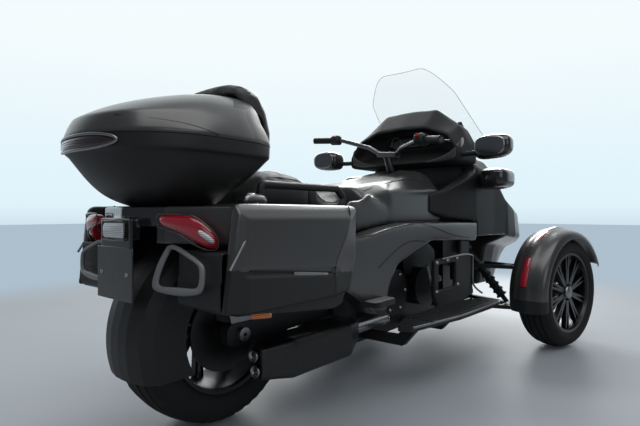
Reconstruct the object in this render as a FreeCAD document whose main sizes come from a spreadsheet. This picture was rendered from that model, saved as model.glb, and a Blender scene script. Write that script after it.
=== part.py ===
import FreeCAD, Part
import Sketcher
import math
import os
from FreeCAD import Vector

# Three-wheeled touring motorcycle: two steered front wheels, one driven rear wheel.
# Frame: +X forward, +Y left, +Z up, millimetres, ground at Z = 0.
# The bars and front wheels stand turned to the right by the parked angles below.

os.makedirs("parts", exist_ok=True)
doc = FreeCAD.newDocument("touring_trike")
sheet = doc.addObject("Spreadsheet::Sheet", "Sizes")

SIZES = [
    # chassis
    ("rear_x", -960), ("wheelbase", 1714), ("half_track", 690),
    ("bar_park", 14.4), ("steer_ratio", 0.9), ("kingpin_inset", 90),
    # wheels
    ("front_radius", 281), ("front_width", 165), ("rear_radius", 303), ("rear_width", 225),
    ("rim_radius", 203), ("rim_lip", 13), ("lip_inset", 12), ("hub_radius", 46), ("spoke_count", 10),
    ("axle_radius", 14), ("axle_hollow", 6), ("spin_gap", 0.05), ("tyre_gap", 0.3),
    ("disc_radius", 135), ("disc_thick", 6),
    # fits
    ("seat_gap", 0.3), ("panel_gap", 3), ("pin_gap", 0.05),
    # frame
    ("spine_half", 60), ("spine_low", 560), ("spine_high", 640), ("rear_frame_low", 650),
    ("seat_rail_high", 690), ("rail_low", 125), ("rail_high", 180), ("rail_in", 90), ("rail_out", 130),
    ("plate_in", 176), ("plate_out", 190), ("bulkhead_half", 150), ("bulkhead_low", 160),
    ("bulkhead_high", 560), ("pivot_z", 330), ("pivot_radius", 16), ("arm_in", 138), ("arm_out", 168),
    ("engine_half", 168), ("engine_high", 545), ("guard_half", 124), ("kingpin_radius", 8),
    ("fender_lift", 12),
    # luggage
    ("case_wall", 6), ("case_half", 290), ("deck_thick", 55), ("case_floor", 743), ("case_seam", 897),
    ("case_top", 1075),
    ("bag_in", 205), ("bag_out", 432), ("bag_split", 392), ("bag_low", 385), ("bag_high", 712),
    ("bag_wall", 5), ("bag_sill", 436),
    # body
    ("tank_half", 250), ("body_half", 345), ("board_high", 262), ("plate_half", 100), ("plate_thick", 3),
    ("plate_hole", 3.5), ("plate_pitch", 145),
    # cockpit
    ("rake", 27), ("stem_back", 572), ("stem_z", 966), ("column_radius", 24), ("column_long", 270),
    ("bar_radius", 11), ("grip_radius", 17), ("dash_half", 340),
    ("screen_thick", 4), ("screen_low", 1090), ("screen_high", 1464), ("screen_bend", 200),
    ("trunk_half", 180), ("trunk_low", 480), ("trunk_wall", 4), ("hood_thick", 20),
]


def fill_sheet():
    for row, (alias, number) in enumerate(SIZES, start=1):
        sheet.set(f"A{row}", alias)
        sheet.set(f"B{row}", str(number))
        sheet.setAlias(f"B{row}", alias)
    doc.recompute()


fill_sheet()
ALIASES = {alias for alias, _ in SIZES}


def bound(text):
    """The size expression with each alias written as a cell of the sheet."""
    words = []
    word = ""
    for letter in str(text) + " ":
        if letter.isalnum() or letter in "_.":
            word += letter
            continue
        words.append("Sizes." + word if word in ALIASES else word)
        words.append(letter)
        word = ""
    return "".join(words).strip()


def size(text):
    """The number that a size expression has now."""
    if isinstance(text, (int, float)):
        return float(text)
    answer = sheet.evalExpression(bound(text))
    return float(getattr(answer, "Value", answer))


def back(distance):
    """A place measured forward from the rear axle."""
    return f"rear_x + {distance}" if distance >= 0 else f"rear_x - {-distance}"


def ahead(distance):
    """A place measured from the same zero, carried by the front axle."""
    offset = distance - 1714
    return f"rear_x + wheelbase + {offset}" if offset >= 0 else f"rear_x + wheelbase - {-offset}"


def new_body(name):
    body = doc.addObject("PartDesign::Body", name)
    body.Label = name
    return body


def origin_plane(body, role):
    return next(part for part in body.Origin.OriginFeatures if part.Role == role)


def rounded(corners):
    """Tangent points of each corner of a closed outline, with its centre and radius."""
    spots = []
    count = len(corners)
    for index, corner in enumerate(corners):
        here = Vector(corner[0], corner[1], 0)
        radius = corner[2] if len(corner) > 2 else 0
        if not radius:
            spots.append((here, here, None, 0))
            continue
        before = Vector(*corners[index - 1][:2], 0).sub(here).normalize()
        after = Vector(*corners[(index + 1) % count][:2], 0).sub(here).normalize()
        half = before.getAngle(after) / 2
        reach = radius / math.tan(half)
        inward = (before + after).normalize()
        centre = here + inward * (radius / math.sin(half))
        spots.append((here + before * reach, here + after * reach, centre, radius))
    return spots


def corner_arc(start, end, centre, radius):
    """The short arc between two tangent points, always drawn anticlockwise."""
    first = start - centre
    last = end - centre
    turns_left = first.cross(last).z > 0
    if not turns_left:
        first, last = last, first
    low = math.atan2(first.y, first.x)
    high = math.atan2(last.y, last.x)
    ring = Part.Circle(centre, Vector(0, 0, 1), radius)
    return Part.ArcOfCircle(ring, low, high if high > low else high + 2 * math.pi), turns_left


def sketch(body, name, role, outline, offset=0):
    """A closed outline on one of the body's own planes; a third value rounds its corner."""
    drawing = body.newObject("Sketcher::SketchObject", name)
    drawing.AttachmentSupport = [(origin_plane(body, role), "")]
    drawing.MapMode = "FlatFace"
    if offset:
        drawing.AttachmentOffset = FreeCAD.Placement(Vector(0, 0, size(offset)), FreeCAD.Rotation())
        drawing.setExpression("AttachmentOffset.Base.z", bound(offset))
    corners = [tuple(size(part) for part in corner) for corner in outline]
    spots = rounded(corners)
    count = len(spots)
    lines = []
    arcs = {}
    for index in range(count):
        following = (index + 1) % count
        lines.append(drawing.addGeometry(Part.LineSegment(spots[index][1], spots[following][0])))
    for index, spot in enumerate(spots):
        if spot[3]:
            curve, turns_left = corner_arc(*spot)
            arcs[index] = (drawing.addGeometry(curve), turns_left)
    for index, corner in enumerate(outline):
        arriving = lines[index - 1]
        leaving = lines[index]
        if index not in arcs:
            drawing.addConstraint(Sketcher.Constraint("Coincident", arriving, 2, leaving, 1))
            anchor = leaving
        else:
            join_arc(drawing, arriving, leaving, *arcs[index], spots[index][3], corner[2])
            anchor = drawing.addGeometry(Part.Point(Vector(*corners[index][:2], 0)), True)
            drawing.addConstraint(Sketcher.Constraint("PointOnObject", anchor, 1, arriving))
            drawing.addConstraint(Sketcher.Constraint("PointOnObject", anchor, 1, leaving))
        for kind, place, text in zip(("DistanceX", "DistanceY"), corners[index], corner):
            made = drawing.addConstraint(Sketcher.Constraint(kind, -1, 1, anchor, 1, place))
            bind(drawing, made, text)
    return drawing


def join_arc(drawing, arriving, leaving, arc, turns_left, radius, text):
    first = 1 if turns_left else 2
    drawing.addConstraint(Sketcher.Constraint("Tangent", arriving, 2, arc, first))
    drawing.addConstraint(Sketcher.Constraint("Tangent", leaving, 1, arc, 3 - first))
    made = drawing.addConstraint(Sketcher.Constraint("Radius", arc, radius))
    bind(drawing, made, text)


def bind(drawing, constraint, text):
    if isinstance(text, str) and any(alias in text for alias in ALIASES):
        drawing.setExpression(f"Constraints[{constraint}]", bound(text))


def circle(body, name, role, across, up, radius, offset=0):
    drawing = body.newObject("Sketcher::SketchObject", name)
    drawing.AttachmentSupport = [(origin_plane(body, role), "")]
    drawing.MapMode = "FlatFace"
    if offset:
        drawing.AttachmentOffset = FreeCAD.Placement(Vector(0, 0, size(offset)), FreeCAD.Rotation())
        drawing.setExpression("AttachmentOffset.Base.z", bound(offset))
    centre = Vector(size(across), size(up), 0)
    ring = drawing.addGeometry(Part.Circle(centre, Vector(0, 0, 1), size(radius)))
    for kind, place, text in (("DistanceX", centre.x, across), ("DistanceY", centre.y, up)):
        made = drawing.addConstraint(Sketcher.Constraint(kind, -1, 1, ring, 3, place))
        bind(drawing, made, text)
    made = drawing.addConstraint(Sketcher.Constraint("Radius", ring, size(radius)))
    bind(drawing, made, radius)
    return drawing


def straight(body, kind, name, drawing, start, end):
    """A Pad or Pocket of a drawing on the ground plane or side plane, from start to end."""
    feature = body.newObject(kind, name)
    feature.Profile = drawing
    feature.Type = 0
    feature.Length = size(end) - size(start)
    feature.setExpression("Length", bound(f"({end}) - ({start})"))
    return feature


# Each slab lies between two values of its own axis. The side plane's normal points to -Y.
PLANES = {"x": ("YZ_Plane", 1), "y": ("XZ_Plane", -1), "z": ("XY_Plane", 1)}


def slab(body, name, axis, outline, start, end, cut=False, ring=None):
    """Material, or a cut, whose outline is drawn across the axis, between two places on it."""
    role, sign = PLANES[axis]
    base = start if sign > 0 else f"-({start})"
    if ring:
        drawing = circle(body, name + "_ring", role, *ring, offset=base)
    else:
        drawing = sketch(body, name + "_outline", role, outline, offset=base)
    kind = "PartDesign::Pocket" if cut else "PartDesign::Pad"
    feature = straight(body, kind, name, drawing, start, end)
    feature.Reversed = (sign < 0) != cut
    return feature


def loft(body, name, axis, stations, cut=False, ruled=True):
    """Material, or a cut, through outlines drawn at places along the axis."""
    role, sign = PLANES[axis]
    drawings = []
    for index, (place, outline) in enumerate(stations):
        offset = place if sign > 0 else f"-({place})"
        drawings.append(sketch(body, f"{name}_at_{index}", role, outline, offset=offset))
    feature = body.newObject("PartDesign::SubtractiveLoft" if cut else "PartDesign::AdditiveLoft", name)
    feature.Profile = drawings[0]
    feature.Sections = drawings[1:]
    feature.Ruled = ruled
    return feature


def turned(body, name, role, outline, cut=False, across=True):
    """A body turned about the sketch's horizontal or vertical axis."""
    drawing = sketch(body, name + "_outline", role, outline)
    feature = body.newObject("PartDesign::Groove" if cut else "PartDesign::Revolution", name)
    feature.Profile = drawing
    feature.ReferenceAxis = (drawing, ["H_Axis" if across else "V_Axis"])
    feature.Angle = 360
    return feature


def both_sides(half):
    """A closed outline from its left half, which runs from one end of the middle line to the other."""
    other = [(f"-({corner[0]})", *corner[1:]) for corner in reversed(half) if size(corner[0]) != 0]
    return list(half) + other


def plan_sides(half):
    """The same for an outline seen from above, whose second value is the distance to the side."""
    other = [(corner[0], f"-({corner[1]})", *corner[2:]) for corner in reversed(half) if size(corner[1]) != 0]
    return list(half) + other


def box_outline(low_a, high_a, low_b, high_b, radius=0):
    corners = [(low_a, low_b), (high_a, low_b), (high_a, high_b), (low_a, high_b)]
    return [corner + (radius,) for corner in corners] if radius else corners


def place(part, across=0, side=0, up=0, turn=None, axis=Vector(0, 0, 1)):
    """The part's Placement, each value bound to its size expression."""
    part.Placement = FreeCAD.Placement(
        Vector(size(across), size(side), size(up)), FreeCAD.Rotation(axis, size(turn or 0)))
    for letter, text in (("x", across), ("y", side), ("z", up)):
        part.setExpression(f"Placement.Base.{letter}", bound(text))
    if turn:
        part.setExpression("Placement.Rotation.Angle", bound(turn))
    return part


def mirrored(name, source):
    """The left-hand copy of a right-hand part."""
    copy = doc.addObject("Part::Mirroring", name)
    copy.Label = name
    copy.Source = source
    copy.Normal = Vector(0, 1, 0)
    return copy


NODES = []


def keep(*parts):
    NODES.extend(parts)


# Wheels

def build_tyre(name, radius, width):
    """A road tyre on its own axle line: crowned tread, sloping shoulders, beads on the rim."""
    body = new_body(name)
    half = f"{width} / 2"
    side = [
        (f"{half} - lip_inset", "rim_radius + tyre_gap"), (half, f"{radius} - 52"),
        (f"{half} - 20", f"{radius} - 14"), (f"{half} - 52", radius),
    ]
    other = [(f"-({across})", up) for across, up in side]
    turned(body, "carcass", "YZ_Plane", other + side[::-1])
    return body


def build_rim(name, width, bore, disc_side, disc_place):
    """A cast rim of thin paired spokes, with its brake disc, outer face towards +Y."""
    body = new_body(name)
    half = f"({width} / 2 - 24)"
    lip = f"({width} / 2 - lip_inset)"
    turned(body, "barrel", "YZ_Plane", [
        (f"-{lip}", "rim_radius"), (lip, "rim_radius"),
        (lip, "rim_radius - rim_lip"), (f"{lip} - 14", "rim_radius - rim_lip - 3"),
        (f"-{lip} + 14", "rim_radius - rim_lip - 3"), (f"-{lip}", "rim_radius - rim_lip"),
    ])
    turned(body, "hub", "YZ_Plane", [
        (f"-{half} + 10", bore), (f"{half} - 12", bore),
        (f"{half} - 12", "hub_radius - 12"), (f"{half} - 26", "hub_radius"),
        (f"-{half} + 10", "hub_radius"),
    ])
    spoke = sketch(body, "spoke_outline", "XZ_Plane", [
        (-12, "hub_radius - 4"), (12, "hub_radius - 4"),
        (18, "rim_radius - rim_lip - 1"), (9, "rim_radius - rim_lip - 1"),
        (0, "hub_radius + 42"), (-9, "rim_radius - rim_lip - 1"), (-18, "rim_radius - rim_lip - 1"),
    ], offset=f"-({lip} - 16)")
    pad = body.newObject("PartDesign::Pad", "spoke")
    pad.Profile = spoke
    pad.Length = 24
    pad.Reversed = False
    doc.recompute()
    fan = body.newObject("PartDesign::PolarPattern", "spokes")
    fan.Originals = [pad]
    fan.Axis = (origin_line(body, "Y_Axis"), [""])
    fan.Angle = 360
    fan.Occurrences = int(size("spoke_count"))
    fan.setExpression("Occurrences", bound("spoke_count"))
    body.Tip = fan
    ring = f"{disc_side} * ({disc_place})"
    low, high = (ring, f"{ring} + disc_thick")
    turned(body, "disc", "YZ_Plane", [
        (low, "hub_radius - 6"), (high, "hub_radius - 6"), (high, "disc_radius"), (low, "disc_radius"),
    ])
    return body


def origin_line(body, role):
    return next(part for part in body.Origin.OriginFeatures if part.Role == role)


def pair(name, right):
    """One node of two solids: a right-hand piece and its mirror image."""
    left = mirrored(name + "_left", right)
    both = doc.addObject("Part::Compound", name)
    both.Label = name
    both.Links = [right, left]
    return both


def tube(name, points, radius, bend):
    """A round bent tube: straight runs joined by arcs of one bend radius."""
    spots = [Vector(*[size(value) for value in point]) for point in points]
    reach = size(bend)
    edges = []
    start = spots[0]
    for index in range(1, len(spots) - 1):
        here = spots[index]
        before = (spots[index - 1] - here).normalize()
        after = (spots[index + 1] - here).normalize()
        half = before.getAngle(after) / 2
        step = reach / math.tan(half)
        inward = (before + after).normalize()
        middle = here + inward * (reach / math.sin(half) - reach)
        edges.append(Part.LineSegment(start, here + before * step).toShape())
        edges.append(Part.Arc(here + before * step, middle, here + after * step).toShape())
        start = here + after * step
    edges.append(Part.LineSegment(start, spots[-1]).toShape())
    path = Part.Wire(edges)
    ring = Part.Wire([Part.Circle(spots[0], spots[1] - spots[0], size(radius)).toShape()])
    return path.makePipeShell([ring], True, False)


def shaped(name, shape):
    """A sub-part whose form is a bent tube or a raked piece, set from the sheet's sizes."""
    part = doc.addObject("Part::Feature", name)
    part.Label = name
    part.Shape = shape
    return part


def rod(start, end, radius):
    """A round bar between two points."""
    low = Vector(*[size(value) for value in start])
    high = Vector(*[size(value) for value in end])
    run = high - low
    return Part.makeCylinder(size(radius), run.Length, low, run)


# Frame, engine and rear end

FRONT_X = "rear_x + wheelbase"


def build_main_frame():
    """Steel spine, swingarm plates, two lower rails and the front bulkhead, welded into one."""
    body = new_body("main_frame")
    slab(body, "spine", "y", [
        (back(-120), "rear_frame_low"), (back(330), "rear_frame_low"), (back(430), "spine_low"),
        (ahead(1500), "spine_low"), (ahead(1500), "spine_high"), (back(480), "spine_high"),
        (back(400), "seat_rail_high"), (back(-120), "seat_rail_high"),
    ], "-spine_half", "spine_half")
    slab(body, "bulkhead", "y", [
        (ahead(1480), "bulkhead_low", 15), (ahead(1900), "bulkhead_low", 15),
        (ahead(1900), "bulkhead_high", 15), (ahead(1480), "bulkhead_high", 15),
    ], "-bulkhead_half", "bulkhead_half")
    slab(body, "rail_tie", "y", box_outline(back(440), back(500), "rail_low", "rail_high"),
         "-plate_out", "plate_out")
    slab(body, "plate_tie", "y", box_outline(back(455), back(545), "spine_low + 4", "spine_low + 44"),
         "-plate_out", "plate_out")
    for side, (low, high) in (("right", ("-plate_out", "-plate_in")), ("left", ("plate_in", "plate_out"))):
        slab(body, f"plate_{side}", "y", [
            (back(440), "rail_low", 8), (back(545), "rail_low", 8), (back(560), "pivot_z", 20),
            (back(545), "spine_low + 44", 8), (back(455), "spine_low + 44", 8), (back(440), "pivot_z", 20),
        ], low, high)
    for side, (low, high) in (("right", ("-rail_out", "-rail_in")), ("left", ("rail_in", "rail_out"))):
        slab(body, f"rail_{side}", "y", box_outline(back(480), ahead(1500), "rail_low", "rail_high"),
             low, high)
    slab(body, "pivot_tube", "y", None, "-plate_out", "plate_out",
         ring=(back(500), "pivot_z", "pivot_radius"))
    for side, sign in (("right", "-"), ("left", "")):
        slab(body, f"strut_lug_{side}", "x", [
            (f"{sign}211.3", 482.8), (f"{sign}180.3", 457.6), (f"{sign}(bulkhead_half - 1)", 440),
            (f"{sign}(bulkhead_half - 1)", 525), (f"{sign}200", 520),
        ], FRONT_X + " - 25", FRONT_X + " + 25")
    for index, place in enumerate((1570, 1730)):
        slab(body, f"window_{index}", "y", box_outline(ahead(place), ahead(place + 110), 300, 420, 20),
             "-bulkhead_half - 1", "bulkhead_half + 1", cut=True)
    return body


def build_engine():
    """The engine as one closed block, with its round case covers standing out on both sides."""
    body = new_body("engine_block")
    slab(body, "crankcase", "y", [
        (back(620), "rail_high + seat_gap", 20), (back(1290), "rail_high + seat_gap", 30),
        (back(1340), 260, 20), (back(1340), 490, 30), (back(1240), "engine_high", 20),
        (back(700), "engine_high", 30), (back(620), 470, 30),
    ], "-engine_half", "engine_half")
    for side, sign in (("right", "-"), ("left", "")):
        for name, across, up, radius, depth in (
                ("clutch", 860, 330, 105, 46), ("generator", 1110, 330, 92, 60), ("pump", 985, 445, 48, 40)):
            ends = [f"{sign}(engine_half - 1)", f"{sign}(engine_half + {depth})"]
            low, high = ends if not sign else reversed(ends)
            slab(body, f"{name}_{side}", "y", None, low, high, ring=(back(across), up, radius))
    return body


def build_swingarm():
    """Two plates each side of the rear wheel, joined ahead of the tyre."""
    body = new_body("swingarm")
    slab(body, "bridge", "y", box_outline(back(380), back(445), "pivot_z - 28", "pivot_z + 28", 10),
         "-arm_out", "arm_out")
    for side, (low, high) in (("right", ("-arm_out", "-arm_in")), ("left", ("arm_in", "arm_out"))):
        slab(body, f"arm_{side}", "y", [
            (back(-60), "rear_radius - 35", 25), (back(440), "pivot_z - 42", 20),
            (back(530), "pivot_z - 30", 20), (back(530), "pivot_z + 30", 20), (back(440), "pivot_z + 42", 20),
            (back(90), "rear_radius + 37", 20), (back(-60), "rear_radius + 37", 25),
        ], low, high)
    slab(body, "pivot_bore", "y", None, "-arm_out - 1", "arm_out + 1", cut=True,
         ring=(back(500), "pivot_z", "pivot_radius + seat_gap"))
    slab(body, "axle_bore_cut", "y", None, "-arm_out - 1", "arm_out + 1", cut=True,
         ring=("rear_x", "rear_radius", "axle_radius + seat_gap"))
    return body


def build_rear_axle():
    """Hollow axle through both swingarm plates, with the two spacers that hold the hub."""
    body = new_body("rear_axle")
    end = "arm_out + 14"
    hub_right = "rear_width / 2 - 24 - 10 + disc_thick + 0.5"
    hub_left = "rear_width / 2 - 24 - 12 + 0.5"
    turned(body, "shaft", "YZ_Plane", [
        (f"-({end})", "axle_hollow"), (end, "axle_hollow"), (end, "axle_radius + 8"),
        ("arm_out + seat_gap", "axle_radius + 8"), ("arm_out + seat_gap", "axle_radius"),
        ("arm_in - seat_gap", "axle_radius"), ("arm_in - seat_gap", "axle_radius + 10"),
        (hub_left, "axle_radius + 10"), (hub_left, "axle_radius"),
        (f"-({hub_right})", "axle_radius"), (f"-({hub_right})", "axle_radius + 10"),
        ("-arm_in + seat_gap", "axle_radius + 10"), ("-arm_in + seat_gap", "axle_radius"),
        ("-arm_out - seat_gap", "axle_radius"), ("-arm_out - seat_gap", "axle_radius + 8"),
        (f"-({end})", "axle_radius + 8"),
    ])
    return place(body, "rear_x", 0, "rear_radius")


def build_rear_caliper():
    """Brake caliper standing on the right swingarm plate, over the edge of the disc."""
    body = new_body("rear_caliper")
    disc_low = "-(rear_width / 2 - 24 - 10 + disc_thick)"
    slab(body, "casting", "y", [
        (back(-40), "rear_radius + 37 + seat_gap"), (back(62), "rear_radius + 37 + seat_gap"),
        (back(80), "rear_radius + 90", 15), (back(50), "rear_radius + 152", 20),
        (back(-30), "rear_radius + 152", 20), (back(-55), "rear_radius + 90", 15),
    ], "-arm_out + 4", f"{disc_low} + 22")
    for name, top, low, high in (
            ("disc_slot", "rear_radius + disc_radius + 4", "- 2.5", "+ disc_thick + 2.5"),
            ("hub_relief", "rear_radius + hub_radius + 6", "- 3", "+ 40")):
        slab(body, name, "y", box_outline(back(-90), back(120), "rear_radius", top),
             f"{disc_low} {low}", f"{disc_low} {high}", cut=True)
    return body


def build_rear_mudguard():
    """Hugger over the rear tyre, crowned and with deep sides, hung from the rear of the spine."""
    body = new_body("rear_mudguard")
    skin = [(0, 23), (44, 21), (98, 9), ("guard_half", -19), ("guard_half", -125)]
    inner = [("guard_half - 4", -125), ("guard_half - 4", -21), (95, 5), (43, 16), (0, 18)]
    half = [(across, f"rear_radius + {up}") for across, up in skin + inner]
    turned(body, "hoop", "YZ_Plane", both_sides(half))
    slab(body, "hanger", "y", box_outline(
        -60, 60, "rear_radius + 19", "rear_frame_low - rear_radius - seat_gap"), -40, 40)
    for name, outline in (("front_end", box_outline(140, 400, -400, 400)),
                          ("lower_end", box_outline(-400, 141, -400, -103))):
        slab(body, name, "y", outline, "-guard_half - 1", "guard_half + 1", cut=True)
    return place(body, "rear_x", 0, "rear_radius")


def build_muffler():
    """Wedge-shaped silencer low on the right side, held against the swingarm plate of the frame."""
    body = new_body("muffler")
    inner = "-plate_out - seat_gap"
    loft(body, "can", "x", [
        (back(0), [(-210, 165, 12), (-210, 280, 12), (-262, 270, 12), (-262, 175, 12)]),
        (back(110), [(inner, 148, 15), (inner, 290, 15), (-300, 285, 20), (-300, 160, 20)]),
        (back(400), [(inner, 146, 15), (inner, 292, 15), (-308, 285, 20), (-308, 165, 20)]),
        (back(490), [(inner, 190, 15), (inner, 285, 15), (-275, 275, 15), (-275, 200, 15)]),
    ])
    for index, (side, up) in enumerate(((-232, 246), (-240, 200))):
        slab(body, f"outlet_{index}", "x", None, back(-1), back(30), cut=True, ring=(side, up, 16))
    return body


def build_exhaust_pipe():
    """Pipe from the engine's right side out to the front of the silencer."""
    path = [
        (back(760), "-engine_half - seat_gap", 236),
        (back(760), -236, 236),
        (back(490.3), -236, 236),
    ]
    return shaped("exhaust_pipe", tube("pipe", path, 24, 38))


# Tail and luggage

DECK_TOP = "rear_frame_low + 1 + deck_thick"


def build_tail_fairing():
    """Tail body between the saddlebags, with the wings that hold the lamps and the plate holder."""
    body = new_body("tail_fairing")
    deck = [
        (back(-312), 0), (back(-280), 170), (back(-191), 340), (back(-181), 390), (back(-179), 390),
        (back(-179), "bag_in - 0.6"), (back(10), "bag_in - 0.6"), (back(10), 0),
    ]
    slab(body, "deck", "z", plan_sides(deck), "rear_frame_low + 1", DECK_TOP)
    wing = [
        (back(-286), 140), (back(-280), 170), (back(-191), 340), (back(-181), 390), (back(-179), 390),
        (back(-179), 140),
    ]
    for side, sign in (("right", "-"), ("left", "")):
        outline = [(corner[0], f"{sign}{corner[1]}") for corner in wing]
        slab(body, f"wing_{side}", "z", outline, 603, "rear_frame_low + 2")
    slab(body, "plate_holder", "z", box_outline(
        back(-332), back(-322), "-(plate_half - 10)", "plate_half - 10", 3), 445, "rear_frame_low + 24")
    slab(body, "holder_neck", "z", box_outline(back(-330), back(-290), -70, 70), 610, "rear_frame_low + 23")
    slab(body, "frame_slot", "z", box_outline(back(-120.3), back(20), "-spine_half - seat_gap",
         "spine_half + seat_gap"), "rear_frame_low", "seat_rail_high + seat_gap", cut=True)
    for index, sign in enumerate(("-", "")):
        slab(body, f"plate_bolt_{index}", "x", None, back(-333), back(-321), cut=True,
             ring=(f"{sign}plate_pitch / 2", 515, "plate_hole"))
    return body


def build_tail_lamps():
    """Long red wedge lamps on the wings of the tail."""
    body = new_body("tail_lamp_right")
    slab(body, "lens", "z", [
        (back(-280.4), -170), (back(-191.4), -340), (back(-187), -360), (back(-205), -360),
        (back(-262), -318, 40), (back(-298), -168),
    ], 592, 690)
    slab(body, "lower_edge", "x", [
        (-160, 650), (-235, 641, 30), (-290, 608, 30), (-322, 590), (-322, 580), (-160, 580),
    ], back(-330), back(-150), cut=True)
    slab(body, "upper_edge", "x", [
        (-160, 686), (-312, 684, 30), (-362, 596), (-380, 700), (-160, 700),
    ], back(-330), back(-150), cut=True)
    return pair("tail_lamps", body)


def build_tail_clear_lamp():
    """Clear lamp on the face of the plate holder, above the plate."""
    body = new_body("tail_clear_lamp")
    loft(body, "lens", "x", [
        (back(-344), box_outline(-50, 50, 618, 656, 8)), (back(-332.3), box_outline(-62, 62, 610, 664, 8)),
    ])
    return body


def build_tail_brackets():
    """Triangular bent-tube guards under the wings of the tail, one to each side."""
    path = [
        (back(-275), -190, 600.8), (back(-302), -158, 478), (back(-280), -338, 490),
        (back(-278), -344, 552), (back(-274), -222, 599.5),
    ]
    guard = shaped("tail_bracket_right", tube("guard", path, 8, 18))
    return pair("tail_brackets", guard)


def build_number_plate():
    """Blank plate screwed to its holder."""
    body = new_body("number_plate")
    slab(body, "sheet", "x", box_outline("-plate_half", "plate_half", 440, 590, 8),
         back(-332.3) + " - plate_thick", back(-332.3))
    for index, sign in enumerate(("-", "")):
        slab(body, f"hole_{index}", "x", None, back(-340), back(-330), cut=True,
             ring=(f"{sign}plate_pitch / 2", 515, "plate_hole"))
    return body


def bag_outline(inset, rear_cut):
    """Side view of the saddlebag, drawn in by an inset; the tub's rear top corner gives way to the tail."""
    rear_top = [(back(-258), f"588 - {inset}"), (back(-178), f"588 - {inset}")]
    rear_top.append((back(-178), f"bag_high - {inset}"))
    if not rear_cut:
        rear_top = [(back(-235), f"bag_high - {inset}", 25)]
    moved = [(f"{rear_top[0][0]} + {inset}", *rear_top[0][1:])]
    moved += [(f"{corner[0]} + {inset}", *corner[1:]) for corner in rear_top[1:]]
    return [
        (back(-262) + f" + {inset}", f"bag_low + 48 + {inset}", 20),
        (back(215) + f" - {inset}", f"bag_low + {inset}", 20),
        (back(290) + f" - {inset}", 540, 30),
        (back(283) + f" - {inset}", f"bag_high - {inset}", 20),
    ] + list(reversed(moved))


def build_saddlebag_tub():
    """Right saddlebag shell, open towards its door, with the sill that the door closes above."""
    body = new_body("saddlebag_tub_right")
    slab(body, "shell", "y", bag_outline(0, True), "-bag_split", "-bag_in")
    slab(body, "hollow", "y", bag_outline("bag_wall", True), "-bag_split - 1", "-bag_in - bag_wall", cut=True)
    slab(body, "sill", "y", [
        (back(-240), "bag_sill - 5"), (back(150), "bag_low + 6"), (back(195), "bag_low + 14", 15),
        (back(212), "bag_sill - seat_gap"), (back(-250), "bag_sill - seat_gap"),
    ], "-bag_out + 12", "-bag_split + 3")
    return body


def build_saddlebag_door():
    """The outer panel of the right saddlebag, hinged at its lower edge."""
    body = new_body("saddlebag_door_right")
    slab(body, "panel", "y", [
        (back(-262), "bag_sill", 3), (back(242), "bag_sill", 3), (back(290), 540, 30),
        (back(283), "bag_high", 20), (back(-228), "bag_high", 20),
    ], "-bag_out", "-bag_split - seat_gap")
    slab(body, "shoulder", "x", [
        ("-bag_out - 2", 668), ("-bag_out - 2", "bag_high + 5"), ("-bag_split - 6", "bag_high + 5"),
        ("-bag_out + 16", "bag_high - 14"),
    ], back(-300), back(330), cut=True)
    loft(body, "front_turn", "z", [
        (up, [(back(turn), "-bag_out - 2"), (back(305), "-bag_out - 2"), (back(305), "-bag_split - 10")])
        for up, turn in (("bag_sill - 5", 145), (520, 138), (604, 194), ("bag_high + 5", 240))
    ], cut=True)
    slab(body, "rear_turn", "z", [
        (back(-200), "-bag_out - 2"), (back(-290), "-bag_out - 2"), (back(-290), "-bag_split - 10"),
    ], "bag_sill - 5", "bag_high + 5", cut=True)
    loft(body, "trim_recess", "x", [
        (back(place_x), [("-bag_out - 1", up), ("-bag_out + 6", up + 6), ("-bag_out + 6", up + 20),
                         ("-bag_out - 1", up + 26)])
        for place_x, up in ((-300, 531), (330, 484))
    ], cut=True)
    return body


def case_plan(rear, rear_side, corner, widest, front_side, front, inset=0):
    """Plan of the top case: bowed rear, round rear corners, long sides, round front corners."""
    half = [
        (back(rear) + f" + {inset}", 0),
        (back(rear_side[0]) + f" + {inset}", f"{rear_side[1]} - {inset} / 2"),
        (back(corner[0]) + f" + {inset}", f"{corner[1]} - {inset}", 28),
        (back(widest[0]), f"{widest[1]} - {inset}", 60),
        (back(front_side[0]) + f" - {inset}", f"{front_side[1]} - {inset}", 36),
        (back(front) + f" - {inset}", 0),
    ]
    return plan_sides(half)


SEAM_PLAN = (-448, (-402, 160), (-350, 258), (-200, "case_half - 4"), (66, 250), 91)
FLOOR_PLAN = (-350, (-322, 120), (-290, 188), (-180, 226), (-62, 196), -45)
FOOT_PLAN = (-250, (-242, 90), (-230, 130), (-180, 150), (-70, 130), -60)
WIDE_PLAN = (-442, (-398, 163), (-344, 266), (-200, "case_half"), (64, 258), 93)
ROOF_PLAN = (-330, (-305, 110), (-275, 160), (-160, 196), (20, 176), 58)


def build_top_case_tub():
    """Hollow lower half of the top case, on a foot that stands on the tail."""
    body = new_body("top_case_tub")
    loft(body, "foot", "z", [
        (f"{DECK_TOP} + seat_gap", case_plan(*FOOT_PLAN)), ("case_floor", case_plan(*FLOOR_PLAN)),
    ])
    loft(body, "flare", "z", [
        ("case_floor", case_plan(*FLOOR_PLAN)), ("case_seam - 42", case_plan(*SEAM_PLAN)),
    ])
    loft(body, "band", "z", [
        ("case_seam - 42", case_plan(*SEAM_PLAN)), ("case_seam", case_plan(*SEAM_PLAN)),
    ])
    loft(body, "hollow_flare", "z", [
        ("case_floor + case_wall", case_plan(*FLOOR_PLAN, "case_wall")),
        ("case_seam - 42", case_plan(*SEAM_PLAN, "case_wall")),
    ], cut=True)
    loft(body, "hollow_band", "z", [
        ("case_seam - 42", case_plan(*SEAM_PLAN, "case_wall")),
        ("case_seam + 1", case_plan(*SEAM_PLAN, "case_wall")),
    ], cut=True)
    return body


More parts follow.
